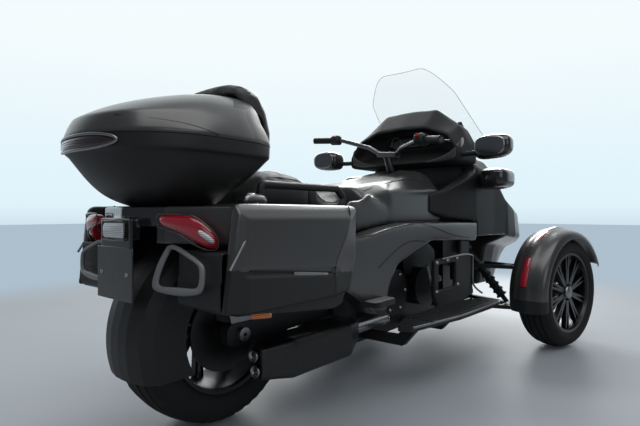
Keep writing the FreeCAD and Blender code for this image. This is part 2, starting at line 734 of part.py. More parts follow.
def build_top_case_lid():
    """Domed lid of the top case, hollow, hinged across its front edge."""
    body = new_body("top_case_lid")
    seam = "case_seam + seat_gap"
    loft(body, "rim", "z", [(seam, case_plan(*SEAM_PLAN)), ("case_seam + 43", case_plan(*WIDE_PLAN))])
    loft(body, "dome", "z", [("case_seam + 43", case_plan(*WIDE_PLAN)), ("case_top", case_plan(*ROOF_PLAN))])
    slab(body, "roof_line", "y", [
        (back(-480), "case_top - 150"), (back(-400), "case_top - 106"), (back(-278), "case_top - 55"),
        (back(-72), "case_top - 3"), (back(140), "case_top - 5"), (back(140), "case_top + 60"),
        (back(-480), "case_top + 60"),
    ], "-case_half - 30", "case_half + 30", cut=True)
    low = (-430, (-388, 158), (-338, 256), (-200, "case_half - 9"), (56, 248), 84)
    middle = (-322, (-305, 120), (-275, 205), (-180, 240), (40, 215), 72)
    high = (-140, (-135, 60), (-125, 120), (-80, 190), (30, 172), 58)
    loft(body, "hollow_rim", "z", [
        ("case_seam - 1", case_plan(*SEAM_PLAN, "case_wall")), ("case_seam + 35", case_plan(*low)),
    ], cut=True)
    loft(body, "hollow_dome", "z", [
        ("case_seam + 35", case_plan(*low)), ("case_top - 88", case_plan(*middle)),
    ], cut=True)
    loft(body, "hollow_roof", "z", [
        ("case_top - 88", case_plan(*middle)), ("case_top - 36", case_plan(*high)),
    ], cut=True)
    return body


def build_top_case_lamps():
    """Slim lamp bar bowed across the rear of the top case, under its seam."""
    body = new_body("top_case_lamps")
    half = [
        (back(-456), 0), (back(-410), 160), (back(-402.5), 160), (back(-448.5), 0),
    ]
    slab(body, "bar", "z", plan_sides(half), "case_seam - 41", "case_seam - 5")
    return body


def build_backrest():
    """Passenger's back pad, folded over the front edge of the lid of the top case."""
    body = new_body("backrest_pad")
    slab(body, "pad", "y", [
        (back(96), 945), (back(98), 915, 6), (back(126), 920, 12), (back(132), 990, 40),
        (back(104), 1062, 50),
        (back(62), 1112, 30), (back(10), 1122, 20), (back(-32), 1108, 14), (back(-32), "case_top - 3", 4),
        (back(62), "case_top - 3.7"),
    ], -190, 190)
    for side, sign in (("right", "-"), ("left", "")):
        slab(body, f"corner_{side}", "x", [
            (f"{sign}150", 1130), (f"{sign}196", 1130), (f"{sign}196", 1050),
        ], back(-60), back(150), cut=True)
    return body


# Seats and body panels

def build_rider_seat():
    """Rider's saddle, on the spine, against the rear of the tank cover."""
    body = new_body("rider_seat")
    slab(body, "cushion", "y", [
        (back(346), "seat_rail_high + seat_gap", 5), (back(400), "seat_rail_high + seat_gap"),
        (back(481), "spine_high + seat_gap"), (back(600), "spine_high + seat_gap", 5),
        (back(601), 796, 8), (back(548), 764, 40), (back(470), 752, 50), (back(395), 764, 25),
        (back(368), 815, 12), (back(346), 808, 6),
    ], -165, 165)
    for side, sign in (("right", "-"), ("left", "")):
        slab(body, f"waist_{side}", "z", [
            (back(480), f"{sign}170"), (back(620), f"{sign}170"), (back(620), f"{sign}125"),
        ], "spine_high - 5", 830, cut=True)
    return body


def build_passenger_seat():
    """Passenger's saddle, one step up, ahead of the top case."""
    body = new_body("passenger_seat")
    slab(body, "cushion", "y", [
        (back(22), "seat_rail_high + seat_gap", 5), (back(343), "seat_rail_high + seat_gap", 5),
        (back(343), 806, 15), (back(300), 832, 30), (back(150), 838, 40), (back(104), 830, 12),
        (back(40), 742, 10), (back(22), 738, 6),
    ], -168, 168)
    return body


def build_grab_handles():
    """Passenger's grab handles, thick bent tube from the bag's top to the side of the rider's seat."""
    path = [
        (back(15), -235, "bag_high + seat_gap"), (back(15), -235, 778), (back(390), -244, 778),
        (back(425), -250, 745), (back(405), -250, 710), (back(405), -165.3, 710),
    ]
    loop = shaped("grab_handle_right", tube("loop", path, 13, 16))
    return pair("grab_handles", loop)


FRONT_SETBACK = 464


def build_tank_cover():
    """Centre cover from the saddle up to the bars, with skirts under the saddle's sides."""
    body = new_body("tank_cover")
    low = "spine_high + seat_gap"
    rear, front = 604, 1250
    long = f"(wheelbase - {FRONT_SETBACK} - {rear})"

    def along(place):
        """A place on the cover, which ends a set distance behind the front axle."""
        share = (place - rear) / (front - rear)
        return f"rear_x + {rear} + {long} * {share:.6f}"

    def section(side, shoulder, top):
        half = [(0, low), (side, low), (side, shoulder[1], 22), (shoulder[0], shoulder[2], 22), (0, top)]
        return both_sides(half)
    loft(body, "cover", "x", [
        (along(rear), section(215, (150, 748, 797), 801)),
        (along(760), section("tank_half", (178, 780, 824), 830)),
        (along(886), section("tank_half", (182, 792, 842), 852)),
        (along(1084), section("tank_half", (176, 796, 876), 890)),
        (along(1180), section("tank_half", (165, 800, 902), 922)),
        (along(front), section("tank_half", (180, 790, 880), 900)),
    ])
    slab(body, "column_slot", "z", box_outline(
        ahead(1100), ahead(1300), "-column_radius - 5", "column_radius + 5"),
        "spine_high - 5", 1000, cut=True)
    for side, (inner, outer) in (
            ("right", ("-tank_half + 1", "-tank_half + 22")), ("left", ("tank_half - 22", "tank_half - 1"))):
        slab(body, f"skirt_{side}", "y", [
            (back(440), 700), (back(505), 612), (back(640), 628), (back(760), 645), (back(760), 700),
            (back(604), 770), (back(560), 745), (back(470), 735),
        ], inner, outer)
    return body


def build_side_fairing():
    """Right body side: from the bag forward over the footwell arch to the nose."""
    body = new_body("side_fairing_right")
    slab(body, "panel", "y", [
        (back(304), 560, 8), (back(300), 600, 8), (back(440), 600, 30), (back(600), 628, 60),
        (back(760), 645, 40),
        (ahead(1250), 642), (ahead(1485), 636), (ahead(1485), 560.5), (ahead(1470), 540, 10),
        (back(1254), 553, 60), (back(966), 563, 60),
        (back(825), 529, 60), (back(668), 480, 60), (back(600), 400, 60), (back(575), 290, 15),
        (back(505), 305, 30), (back(419), 366, 20), (back(310), 420, 20), (back(297), 500, 15),
    ], "-body_half", "-tank_half - seat_gap")
    slab(body, "rear_turn", "z", [
        (back(250), "-body_half - 2"), (back(340), "-body_half - 2"), (back(250), "-body_half + 30"),
    ], 280, 660, cut=True)
    return body


def build_lower_cowls():
    """Black panels beside the engine, with the window that leaves its side open to view."""
    body = new_body("lower_cowl_right")
    slab(body, "panel", "y", [
        (back(1010), 300, 10), (back(1010), 470, 15), (back(1275), 481, 20), (ahead(1468), 470, 10),
        (ahead(1440), 330, 20), (ahead(1468), 262, 8), (ahead(1300), 240, 20), (back(1040), 245, 20),
    ], "-body_half + 12", "-body_half + 32")
    slab(body, "window", "y", box_outline(back(1050), back(1240), 325, 445, 15),
         "-body_half + 10", "-body_half + 34", cut=True)
    slab(body, "hanger", "y", [
        (ahead(1300), 460), (ahead(1400), 460), (ahead(1400), 543.9), (ahead(1300), 549.9),
    ], "-body_half + 12", "-body_half + 32")
    return pair("lower_cowls", body)


def build_footboards():
    """Rider's boards on arms from the lower rails, and the passenger's boards on the body side."""
    rider = new_body("rider_board_right")
    slab(rider, "board", "z", [
        (back(562), "-body_half - 57", 10), (back(700), "-body_half - 7", 30),
        (back(1150), "-body_half - 7", 60), (ahead(1344), "-body_half - 75", 30),
        (ahead(1366), "-body_half - 160", 20), (ahead(1290), "-body_half - 177", 40),
        (back(900), "-body_half - 160", 60), (back(580), "-body_half - 107", 12),
    ], "board_high - 22", "board_high")
    for index in range(6):
        out = 32 + 20 * index
        slab(rider, f"rib_{index}", "z", box_outline(
            back(700), ahead(1290), f"-body_half - {out}", f"-body_half - {out - 8}"),
            "board_high - 1", "board_high + 3")
    for index, across in enumerate((720, 1080)):
        slab(rider, f"arm_{index}", "x", [
            ("-rail_out - seat_gap", "rail_low + 12"), ("-rail_out - seat_gap", "rail_high - 6"),
            ("-body_half + 45", "rail_high - 4"), ("-body_half - 27", "board_high - 21"),
            ("-body_half - 75", "board_high - 21"), ("-body_half + 15", "rail_low + 12"),
        ], back(across), back(across + 36))
    passenger = new_body("passenger_board_right")
    slab(passenger, "board", "z", [
        (back(395), "-body_half - seat_gap", 3), (back(540), "-body_half - seat_gap", 3),
        (back(530), "-body_half - 70", 15), (back(410), "-body_half - 78", 15),
    ], 352, 370)
    for index in range(4):
        slab(passenger, f"rib_{index}", "z", box_outline(
            back(422 + 28 * index), back(432 + 28 * index), "-body_half - 60", "-body_half - 12"), 369, 373)
    left_rider = mirrored("rider_board_left", rider)
    left_passenger = mirrored("passenger_board_left", passenger)
    both = doc.addObject("Part::Compound", "footboards")
    both.Label = "footboards"
    both.Links = [rider, left_rider, passenger, left_passenger]
    return both


# Nose, trunk and cockpit

HOOD_LINE = ((1915, 900, 228, 862), (2150, 772, 208, 745), (2318, 688, 172, 668))


def hood_section(top, half, edge, low, high, gap):
    """The hood's cross-section between two heights above its skin, its edges drawn in by a gap."""
    rim = f"{edge} + ({top} - {edge}) * {gap} / {half}"
    return both_sides([
        (0, f"{top} + {low}"), (f"{half} - {gap}", f"{rim} + {low}"),
        (f"{half} - {gap}", f"{rim} + {high}"), (0, f"{top} + {high}"),
    ])


def hood_cut(body, name, low, high):
    """Takes away what lies under the hood, between two heights above its outer skin."""
    loft(body, name, "x", [
        (ahead(place_x), hood_section(top, half, edge, low, high, 0))
        for place_x, top, half, edge in HOOD_LINE
    ], cut=True)


def build_nose_cowl():
    """Front body: upper fairing over the bulkhead, then the nose with its trunk opening."""
    body = new_body("nose_cowl")
    low = "bulkhead_high + seat_gap"

    def upper(side, shoulder, edge, top):
        return both_sides([(0, low), (side, low), (side, shoulder, 30), (edge[0], edge[1], 40), (0, top)])

    def front(chin, neck, side, shoulder, edge, top):
        return both_sides([
            (0, chin[1]), (chin[0], chin[1], 25), (neck[0], neck[1], 40), (side[0], side[1], 20),
            (shoulder[0], shoulder[1], 30), (edge[0], edge[1]), (0, top)])
    loft(body, "fairing", "x", [
        (ahead(1500), upper(335, 935, (270, 1010), 1040)),
        (ahead(1740), upper(345, 900, (280, 990), 1030)),
        (ahead(1905), upper(362, 760, (228, 862), 904)),
    ])
    loft(body, "nose", "x", [
        (ahead(1905), front((185, 240), (225, 490), (368, 556), (364, 760), (228, 862), 904)),
        (ahead(2150), front((185, 236), (230, 470), (362, 530), (345, 690), (208, 745), 772)),
        (ahead(2318), front((165, 380), (215, 455), (295, 498), (270, 640), (172, 668), 688)),
        (ahead(2376), front((90, 460), (140, 488), (190, 520), (180, 590), (120, 612), 622)),
    ])
    for side, sign in (("right", "-"), ("left", "")):
        loft(body, f"cheek_{side}", "x", [
            (ahead(place_x), [
                (f"{sign}{inner}", foot), (f"{sign}{outer}", foot), (f"{sign}{outer}", shoulder),
                (f"{sign}{inner}", head)])
            for place_x, inner, outer, foot, shoulder, head in (
                (1110, 250.3, 256, 690, 780, 786), (1253, 254, 290, 660, 806, 818),
                (1400, 262, 318, 650, 860, 885), (1501, 262, 335, 645, 905, 938))
        ])
    hood_cut(body, "hood_seat", "-hood_thick - seat_gap", 60)
    slab(body, "trunk_space", "z", box_outline(
        ahead(1940), ahead(2200), "-trunk_half - seat_gap", "trunk_half + seat_gap", 20),
        "trunk_low - seat_gap", 930, cut=True)
    slab(body, "hinge_well", "z", box_outline(ahead(2262), ahead(2318), -175, 175), 632, 700, cut=True)
    for side, (inner, outer) in (("right", (-272, -150)), ("left", (150, 272))):
        slab(body, f"lamp_space_{side}", "x", box_outline(inner, outer, 505, 610, 18),
             ahead(2270), ahead(2400), cut=True)
    slab(body, "grille_space", "x", box_outline(-150, 150, 290, 440, 15), ahead(2200), ahead(2400), cut=True)
    return body


def build_front_trunk():
    """Moulded tub inside the nose, under the hood."""
    body = new_body("front_trunk")
    slab(body, "tub", "z", box_outline(ahead(1940.3), ahead(2199.7), "-trunk_half", "trunk_half", 20),
         "trunk_low", 900)
    slab(body, "hollow", "z", box_outline(
        ahead(1940.3) + " + trunk_wall", ahead(2199.7) + " - trunk_wall",
        "-trunk_half + trunk_wall", "trunk_half - trunk_wall", 16), "trunk_low + trunk_wall", 905, cut=True)
    hood_cut(body, "rim", "-hood_thick - seat_gap", 200)
    return body


def build_hood():
    """Lid of the front trunk, hinged across its front edge."""
    body = new_body("hood")
    loft(body, "skin", "x", [
        (ahead(place_x), hood_section(top, half, edge, "-hood_thick", 0, "panel_gap"))
        for place_x, top, half, edge in HOOD_LINE
    ])
    first, last = HOOD_LINE[0][0], HOOD_LINE[-1][0]
    for name, start, end in (
            ("rear_gap", ahead(first) + " - 1", ahead(first) + " + panel_gap"),
            ("front_gap", ahead(last) + " - panel_gap", ahead(last) + " + 1")):
        slab(body, name, "z", box_outline(start, end, -300, 300), 500, 1000, cut=True)
    return body


def build_headlamps():
    """Two headlamp units let into the nose."""
    body = new_body("headlamp_right")
    loft(body, "unit", "x", [
        (ahead(2270.3), box_outline(-269, -153, 508, 607, 15)),
        (ahead(2322), box_outline(-265, -153, 510, 604, 15)),
        (ahead(2352), box_outline(-220, -158, 520, 596, 15)),
    ])
    return pair("headlamps", body)


def build_grille():
    """Grille in the chin: a frame with upright bars."""
    body = new_body("front_grille")
    slab(body, "panel", "x", box_outline(-147, 147, 293, 437, 13), ahead(2200.3), ahead(2216))
    slab(body, "opening", "x", box_outline(-133, 133, 307, 423, 6), ahead(2199), ahead(2220), cut=True)
    for index in range(7):
        slab(body, f"bar_{index}", "x", box_outline(-105 + 35 * index - 4, -105 + 35 * index + 4, 306, 424),
             ahead(2203), ahead(2213))
    return body


def build_side_wings():
    """Wind deflectors on both sides of the upper fairing."""
    body = new_body("side_wing_right")
    slab(body, "blade", "z", [
        (ahead(1520), -336.2), (ahead(1400), -400, 20), (ahead(1408), -512, 25), (ahead(1590), -520, 30),
        (ahead(1628), -450, 20), (ahead(1650), -341.6),
    ], 812, 926)
    return pair("side_wings", body)


def build_mirrors():
    """Mirror housings on short arms from the dash."""
    body = new_body("mirror_right")
    slab(body, "housing", "y", [
        (ahead(1214), 1000, 14), (ahead(1226), 1062, 20), (ahead(1300), 1068, 30), (ahead(1336), 1000, 25),
        (ahead(1312), 945, 20), (ahead(1226), 952, 14),
    ], -600, -425)
    slab(body, "arm", "y", box_outline(ahead(1285), ahead(1325), 972, 1002, 10), -426, "-dash_half + 0.7")
    return pair("mirrors", body)


def build_dash():
    """Instrument housing with its hood, standing against the upper fairing."""
    body = new_body("dash_console")

    def section(low, side, brow, top_edge, top):
        return both_sides([
            (0, low), (side[0], low, 20), (side[0], side[1], 25), (brow[0], brow[1], 20),
            (top_edge[0], top_edge[1], 25), (0, top)])
    loft(body, "housing", "x", [
        (ahead(1262), section(946, ("dash_half - 2", 1010), (280, 1092), (150, 1140), 1146)),
        (ahead(1390), section(946, ("dash_half", 1050), (294, 1152), (159, 1258), 1265)),
        (ahead(1499.7), section(946, ("dash_half", 1050), (290, 1140), (150, 1220), 1228)),
    ])
    loft(body, "bowl", "x", [
        (ahead(1261), section(962, ("dash_half - 18", 1006), (268, 1078), (146, 1124), 1130)),
        (ahead(1330), section(992, ("dash_half - 50", 1022), (258, 1100), (138, 1176), 1184)),
        (ahead(1400), section(1040, (190, 1062), (170, 1104), (100, 1140), 1146)),
    ], cut=True)
    return body


def build_windscreen():
    """Tall clear screen, curved across, leaning back over the dash."""
    body = new_body("windscreen")

    def crescent(centre, bend, edge, side):
        outer = [(ahead(centre), 0), (ahead(bend), "screen_bend"), (ahead(edge), side)]
        inner = [(ahead(edge) + " - 1.5 * screen_thick", f"{side} - 3"),
                 (ahead(bend) + " - 1.5 * screen_thick", "screen_bend"),
                 (ahead(centre) + " - 1.5 * screen_thick", 0)]
        return plan_sides(outer + inner)
    loft(body, "sheet", "z", [
        ("screen_low", crescent(1830, 1800, 1710, 322)), ("screen_high", crescent(1290, 1265, 1225, 228)),
    ])
    for side, sign in (("right", "-"), ("left", "")):
        slab(body, f"round_corner_{side}", "x", [
            (f"{sign}110", "screen_high + 9"), (f"{sign}110", "screen_high"),
            (f"{sign}228.2", "screen_high", 90), (f"{sign}260.9", "screen_high - 130"),
            (f"{sign}300", "screen_high - 130"), (f"{sign}300", "screen_high + 9"),
        ], ahead(1100), ahead(1460), cut=True)
    return body


def build_screen_arms():
    """Two lift arms from the upper fairing to the back of the screen."""
    body = new_body("screen_arm_right")
    slab(body, "arm", "y", [
        (ahead(1640), 1011.4), (ahead(1690), 1008.3), (ahead(1707.5), 1150), (ahead(1614.6), 1215),
        (ahead(1650), 1150),
    ], "-screen_bend", "-screen_bend + 22")
    return pair("screen_arms", body)


COLUMN_FOOT = "(spine_high + seat_gap + column_radius * sin(rake))"


def build_column():
    """Steering column tube, raked back from the spine towards the bars."""
    body = new_body("steering_column")
    ring = circle(body, "tube_ring", "XY_Plane", 0, 0, "column_radius")
    straight(body, "PartDesign::Pad", "tube", ring, 0, "column_long")
    foot = f"rear_x + wheelbase - stem_back + (stem_z - {COLUMN_FOOT}) * tan(rake)"
    return place(body, foot, 0, COLUMN_FOOT, "-rake", Vector(0, 1, 0))


def build_handlebar():
    """Swept bar in its clamp on top of the stem, drawn straight ahead and set to the parked angle."""
    centre = [(-152, 460, 89), (-92, 285, 96), (-34, 120, 62), (0, 48, 26)]
    path = centre + [(x, -y, z) for x, y, z in reversed(centre)]
    bar = tube("bar", path, "bar_radius", 40)
    clamp = Part.makeBox(52, 130, 30, Vector(-26, -65, 12))
    clamp = clamp.makeFillet(8, clamp.Edges)
    reach = size(f"(stem_z - {COLUMN_FOOT}) / cos(rake) - column_long - seat_gap")
    lean = math.radians(size("rake"))
    axis = Vector(-math.sin(lean), 0, math.cos(lean))
    shape = bar.fuse([clamp, rod(axis * -reach, axis * 25, 20)]).removeSplitter()
    return steered_bar(shaped("handlebar", shape))


def steered_bar(part):
    """Sets a bar piece on the stem, turned about the raked stem by the parked angle."""
    rake = FreeCAD.Rotation(Vector(0, 1, 0), -size("rake"))
    turn = FreeCAD.Rotation(Vector(0, 0, 1), -size("bar_park"))
    lean_back = FreeCAD.Rotation(Vector(0, 1, 0), size("rake"))
    part.Placement = FreeCAD.Placement(
        Vector(size("rear_x + wheelbase - stem_back"), 0, size("stem_z")), rake * turn * lean_back)
    return part


GRIP_END = Vector(-152, 460, 89)
GRIP_RUN = (Vector(-92, 285, 96) - GRIP_END).normalize()


def along_grip(distance, sign):
    spot = GRIP_END + GRIP_RUN * distance
    return Vector(spot.x, spot.y * sign, spot.z)


def collar(start, end, inner, outer, sign):
    """A sleeve on the straight end of the bar."""
    low = along_grip(start, sign)
    run = along_grip(end, sign) - low
    sleeve = Part.makeCylinder(outer, run.Length, low, run)
    return sleeve.cut(Part.makeCylinder(inner, run.Length + 2, low - run.normalize(), run))


def build_grips():
    """Rubber grips on both ends of the bar."""
    inner = size("bar_radius + pin_gap")
    sleeves = [collar(0.5, 122, inner, size("grip_radius"), sign) for sign in (1, -1)]
    return steered_bar(shaped("grips", Part.makeCompound(sleeves)))


def build_bar_controls():
    """Switch housings with their levers, beside the grips."""
    inner = size("bar_radius + pin_gap")
    pods = []
    for sign in (1, -1):
        pod = collar(123, 172, inner, 25, sign)
        root = along_grip(150, sign) + Vector(22, 0, 0)
        knee = along_grip(130, sign) + Vector(60, 0, 0)
        tip = along_grip(-10, sign) + Vector(52, 0, 0)
        lever = tube("lever", [root, knee, tip], 6, 12)
        pods.append(pod.fuse(lever))
    return steered_bar(shaped("bar_controls", Part.makeCompound(pods)))


# Front suspension, knuckles and fenders

KINGPIN_SIDE = "(half_track - kingpin_inset)"


def build_suspension():
    """Upper and lower wishbones with their eyes around the kingpins."""
    arms = []
    for name, up, spread in (("lower", 170, 150), ("upper", 390, 120)):
        outline = [
            (FRONT_X + f" - {spread} - 14", "-bulkhead_half - seat_gap"),
            (FRONT_X + f" - {spread} + 14", "-bulkhead_half - seat_gap"),
            (FRONT_X, f"-{KINGPIN_SIDE} + 70"),
            (FRONT_X + f" + {spread} - 14", "-bulkhead_half - seat_gap"),
            (FRONT_X + f" + {spread} + 14", "-bulkhead_half - seat_gap"),
            (FRONT_X + " + 15", f"-{KINGPIN_SIDE}"), (FRONT_X + " - 15", f"-{KINGPIN_SIDE}"),
        ]
        arm = new_body(f"{name}_wishbone_right")
        slab(arm, "legs", "z", outline, up - 10, up + 10)
        slab(arm, "eye", "z", None, up - 10, up + 10, ring=(FRONT_X, f"-{KINGPIN_SIDE}", 18))
        slab(arm, "tie", "z", box_outline(FRONT_X + " - 50", FRONT_X + " + 50", -440, -410), up - 10, up + 10)
        slab(arm, "pin_bore", "z", None, up - 11, up + 11, cut=True,
             ring=(FRONT_X, f"-{KINGPIN_SIDE}", "kingpin_radius + pin_gap"))
        arms.append(arm)
    copies = [mirrored(f"{name}_wishbone_left", arm) for name, arm in zip(("lower", "upper"), arms)]
    both = doc.addObject("Part::Compound", "suspension_arms")
    both.Label = "suspension_arms"
    both.Links = arms + copies
    return both


def build_shocks():
    """Spring struts from the lower wishbones up to the bulkhead: body, rod and coil as one turned form."""
    body = new_body("shock_right")
    outline = [(0, 0), (13, 0), (13, 40), (30, 44)]
    for index in range(6):
        up = 50 + index * 34
        outline += [(30, up), (22, up + 8), (22, up + 20), (30, up + 28)]
    outline += [(30, 262), (18, 268), (18, 363), (0, 363)]
    turned(body, "strut", "XZ_Plane", outline, across=False)
    low = Vector(0, -425, 188.4)
    high = Vector(0, -196, 470)
    body.Placement = FreeCAD.Placement(
        Vector(size(FRONT_X), low.y, low.z), FreeCAD.Rotation(Vector(0, 0, 1), high - low))
    return pair("shocks", body)


def steered(part, side, up=0, outboard=0, reverse=False):
    """Sets a piece that turns with a front wheel; outboard is its distance past the kingpin."""
    sign = "-" if side == "right" else ""
    park = "(bar_park * steer_ratio)"
    across = f"{FRONT_X} {'-' if side == 'right' else '+'} ({outboard}) * sin({park})"
    out = f"{sign}({KINGPIN_SIDE} + ({outboard}) * cos({park}))"
    turn = f"180 - {park}" if reverse else f"0 - {park}"
    return place(part, across, out, up, turn)


def build_knuckle(side):
    """Upright between the wishbones, with its spindle, caliper and the stays of the fender."""
    body = new_body(f"knuckle_{side}")

    def span(start, end):
        """Two places outboard of the kingpin, in rising order."""
        if side == "left":
            return start, end
        return f"-({end})", f"-({start})"
    slab(body, "upright", "z", box_outline(-22, 22, *span(-14, 20), 5), 182, 378)
    slab(body, "kingpin", "z", None, 160, 400, ring=(0, 0, "kingpin_radius"))
    boss_end = "kingpin_inset - (front_width / 2 - 24 - 10 + disc_thick) - 0.4"
    slab(body, "spindle_boss", "y", None, *span(19, boss_end), ring=(0, "front_radius", 26))
    slab(body, "spindle", "y", None, *span(19, "kingpin_inset + front_width / 2 - 24 - 10"),
         ring=(0, "front_radius", "axle_radius"))
    slab(body, "ear", "y", box_outline(-56, 56, 300, 340), *span(-4, 16))
    for name, low in (("rear", -56), ("front", 42)):
        slab(body, f"stay_{name}", "y", box_outline(low, low + 14, 338, "571 + fender_lift"), *span(-4, 2))
    slab(body, "stay_bridge", "y", box_outline(-56, 56, "567.5 + fender_lift", "571 + fender_lift"),
         *span(-4, 34))
    disc_in = "kingpin_inset - (front_width / 2 - 24 - 10 + disc_thick)"
    slab(body, "caliper", "y", [
        (-150, 250, 15), (-85, 250), (-20, 262), (-20, 300), (-85, 312), (-150, 312, 15),
    ], *span(6, f"{disc_in} + 18"))
    slab(body, "caliper_slot", "y", box_outline("-disc_radius - 3", -59, 200, 380),
         *span(f"{disc_in} - 2.5", f"{disc_in} + disc_thick + 2.5"), cut=True)
    slab(body, "caliper_relief", "y", box_outline(-60, -19, 200, 380),
         *span(f"{disc_in} - 2.5", f"{disc_in} + 30"), cut=True)
    slab(body, "steering_arm", "z", box_outline(20, 110, *span(-12, 6), 4), 205, 225)
    return steered(body, side)


def build_fender(side):
    """Fender that turns with its wheel: a crowned hoop with a raised ridge, open towards the tyre."""
    body = new_body(f"fender_{side}")
    sign = 1 if side == "left" else -1
    skin = [
        (-84, 300), (-50, 312), (-28, 314), (-18, 322), (18, 322), (28, 314), (62, 309), (94, 296),
        (100, 262),
    ]
    inner = [
        (96, 262), (90, 293), (60, 305), (27, 310), (17, 318), (-17, 318), (-27, 310), (-50, 308),
        (-84, 296),
    ]
    lift = "front_radius + fender_lift"
    outline = [(across * sign, f"{lift} + {radius - 281}") for across, radius in skin + inner]
    turned(body, "hoop", "YZ_Plane", outline)
    reach = 520
    front = math.radians(24)
    rear = math.radians(194)
    slab(body, "open_part", "y", [
        (0, 0), (reach * math.cos(front), reach * math.sin(front)), (reach, -reach), (-reach, -reach),
        (reach * math.cos(rear), reach * math.sin(rear)),
    ], -130, 130, cut=True)
    return steered(body, side, "front_radius", "kingpin_inset")


# Assembly

def build_all():
    keep(build_main_frame(), build_engine(), build_swingarm(), build_rear_axle(), build_rear_caliper(),
         build_rear_mudguard(), build_muffler(), build_exhaust_pipe())
    keep(build_tail_fairing(), build_tail_lamps(), build_tail_clear_lamp(), build_tail_brackets(),
         build_number_plate())
    for right in (build_saddlebag_tub(), build_saddlebag_door()):
        keep(right, mirrored(right.Label.replace("right", "left"), right))
    keep(build_top_case_tub(), build_top_case_lid(), build_top_case_lamps(), build_backrest())
    keep(build_rider_seat(), build_passenger_seat(), build_grab_handles(), build_tank_cover())
    fairing = build_side_fairing()
    keep(fairing, mirrored("side_fairing_left", fairing))
    keep(build_lower_cowls(), build_footboards())
    keep(build_nose_cowl(), build_front_trunk(), build_hood(), build_headlamps(), build_grille())
    keep(build_side_wings(), build_mirrors(), build_dash(), build_windscreen(), build_screen_arms())
    keep(build_column(), build_handlebar(), build_grips(), build_bar_controls())
    keep(build_suspension(), build_shocks())
    bore = "axle_radius + spin_gap"
    inner_disc = "-(front_width / 2 - 24 - 10 + disc_thick)"
    for side in ("left", "right"):
        keep(build_knuckle(side), build_fender(side))
        tyre = build_tyre(f"tyre_front_{side}", "front_radius", "front_width")
        rim = build_rim(f"rim_front_{side}", "front_width", bore, 1, inner_disc)
        for part in (tyre, rim):
            keep(steered(part, side, "front_radius", "kingpin_inset", reverse=side == "right"))
    tyre = build_tyre("tyre_rear", "rear_radius", "rear_width")
    rim = build_rim("rim_rear", "rear_width", bore, 1, "-(rear_width / 2 - 24 - 10 + disc_thick)")
    for part in (tyre, rim):
        keep(place(part, "rear_x", 0, "rear_radius"))


def check_and_write():
    doc.recompute()
    for item in doc.Objects:
        if "Invalid" in item.State or "Error" in item.State:
            raise RuntimeError(f"{item.Label} failed: {item.State}")
    for part in NODES:
        if part.Shape.isNull() or not part.Shape.isValid() or not part.Shape.Solids:
            raise RuntimeError(f"{part.Label} has no valid solid")
    for part in NODES:
        part.Shape.exportStep(f"parts/{part.Label}.step")


build_all()
check_and_write()
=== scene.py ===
import bpy
import bmesh
import math
from mathutils import Matrix, Vector


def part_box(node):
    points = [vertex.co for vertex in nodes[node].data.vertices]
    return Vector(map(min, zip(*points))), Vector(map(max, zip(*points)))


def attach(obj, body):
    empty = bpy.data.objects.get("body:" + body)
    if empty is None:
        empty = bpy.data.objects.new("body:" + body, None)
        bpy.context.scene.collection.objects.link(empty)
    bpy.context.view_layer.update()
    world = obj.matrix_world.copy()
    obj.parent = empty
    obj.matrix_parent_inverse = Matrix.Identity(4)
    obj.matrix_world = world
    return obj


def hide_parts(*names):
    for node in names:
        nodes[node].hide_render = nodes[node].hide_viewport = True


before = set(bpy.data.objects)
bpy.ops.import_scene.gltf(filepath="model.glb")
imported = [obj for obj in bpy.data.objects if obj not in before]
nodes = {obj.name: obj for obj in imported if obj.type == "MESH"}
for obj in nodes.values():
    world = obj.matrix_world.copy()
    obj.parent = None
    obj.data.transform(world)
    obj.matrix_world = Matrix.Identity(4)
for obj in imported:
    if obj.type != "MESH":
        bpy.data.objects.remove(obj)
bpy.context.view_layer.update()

# Camera
# A standing photographer's view from behind the right rear corner, with a wide lens held level.
camera_data = bpy.data.cameras.new("camera")
camera_data.sensor_width = 36
camera_data.lens = 26.447
camera = bpy.data.objects.new("camera", camera_data)
camera.location = (-1.948, -1.323, 0.688)
camera.rotation_euler = (math.radians(90), 0, math.radians(-49.925))
bpy.context.scene.collection.objects.link(camera)
bpy.context.scene.camera = camera
bpy.context.scene.view_settings.view_transform = "Standard"


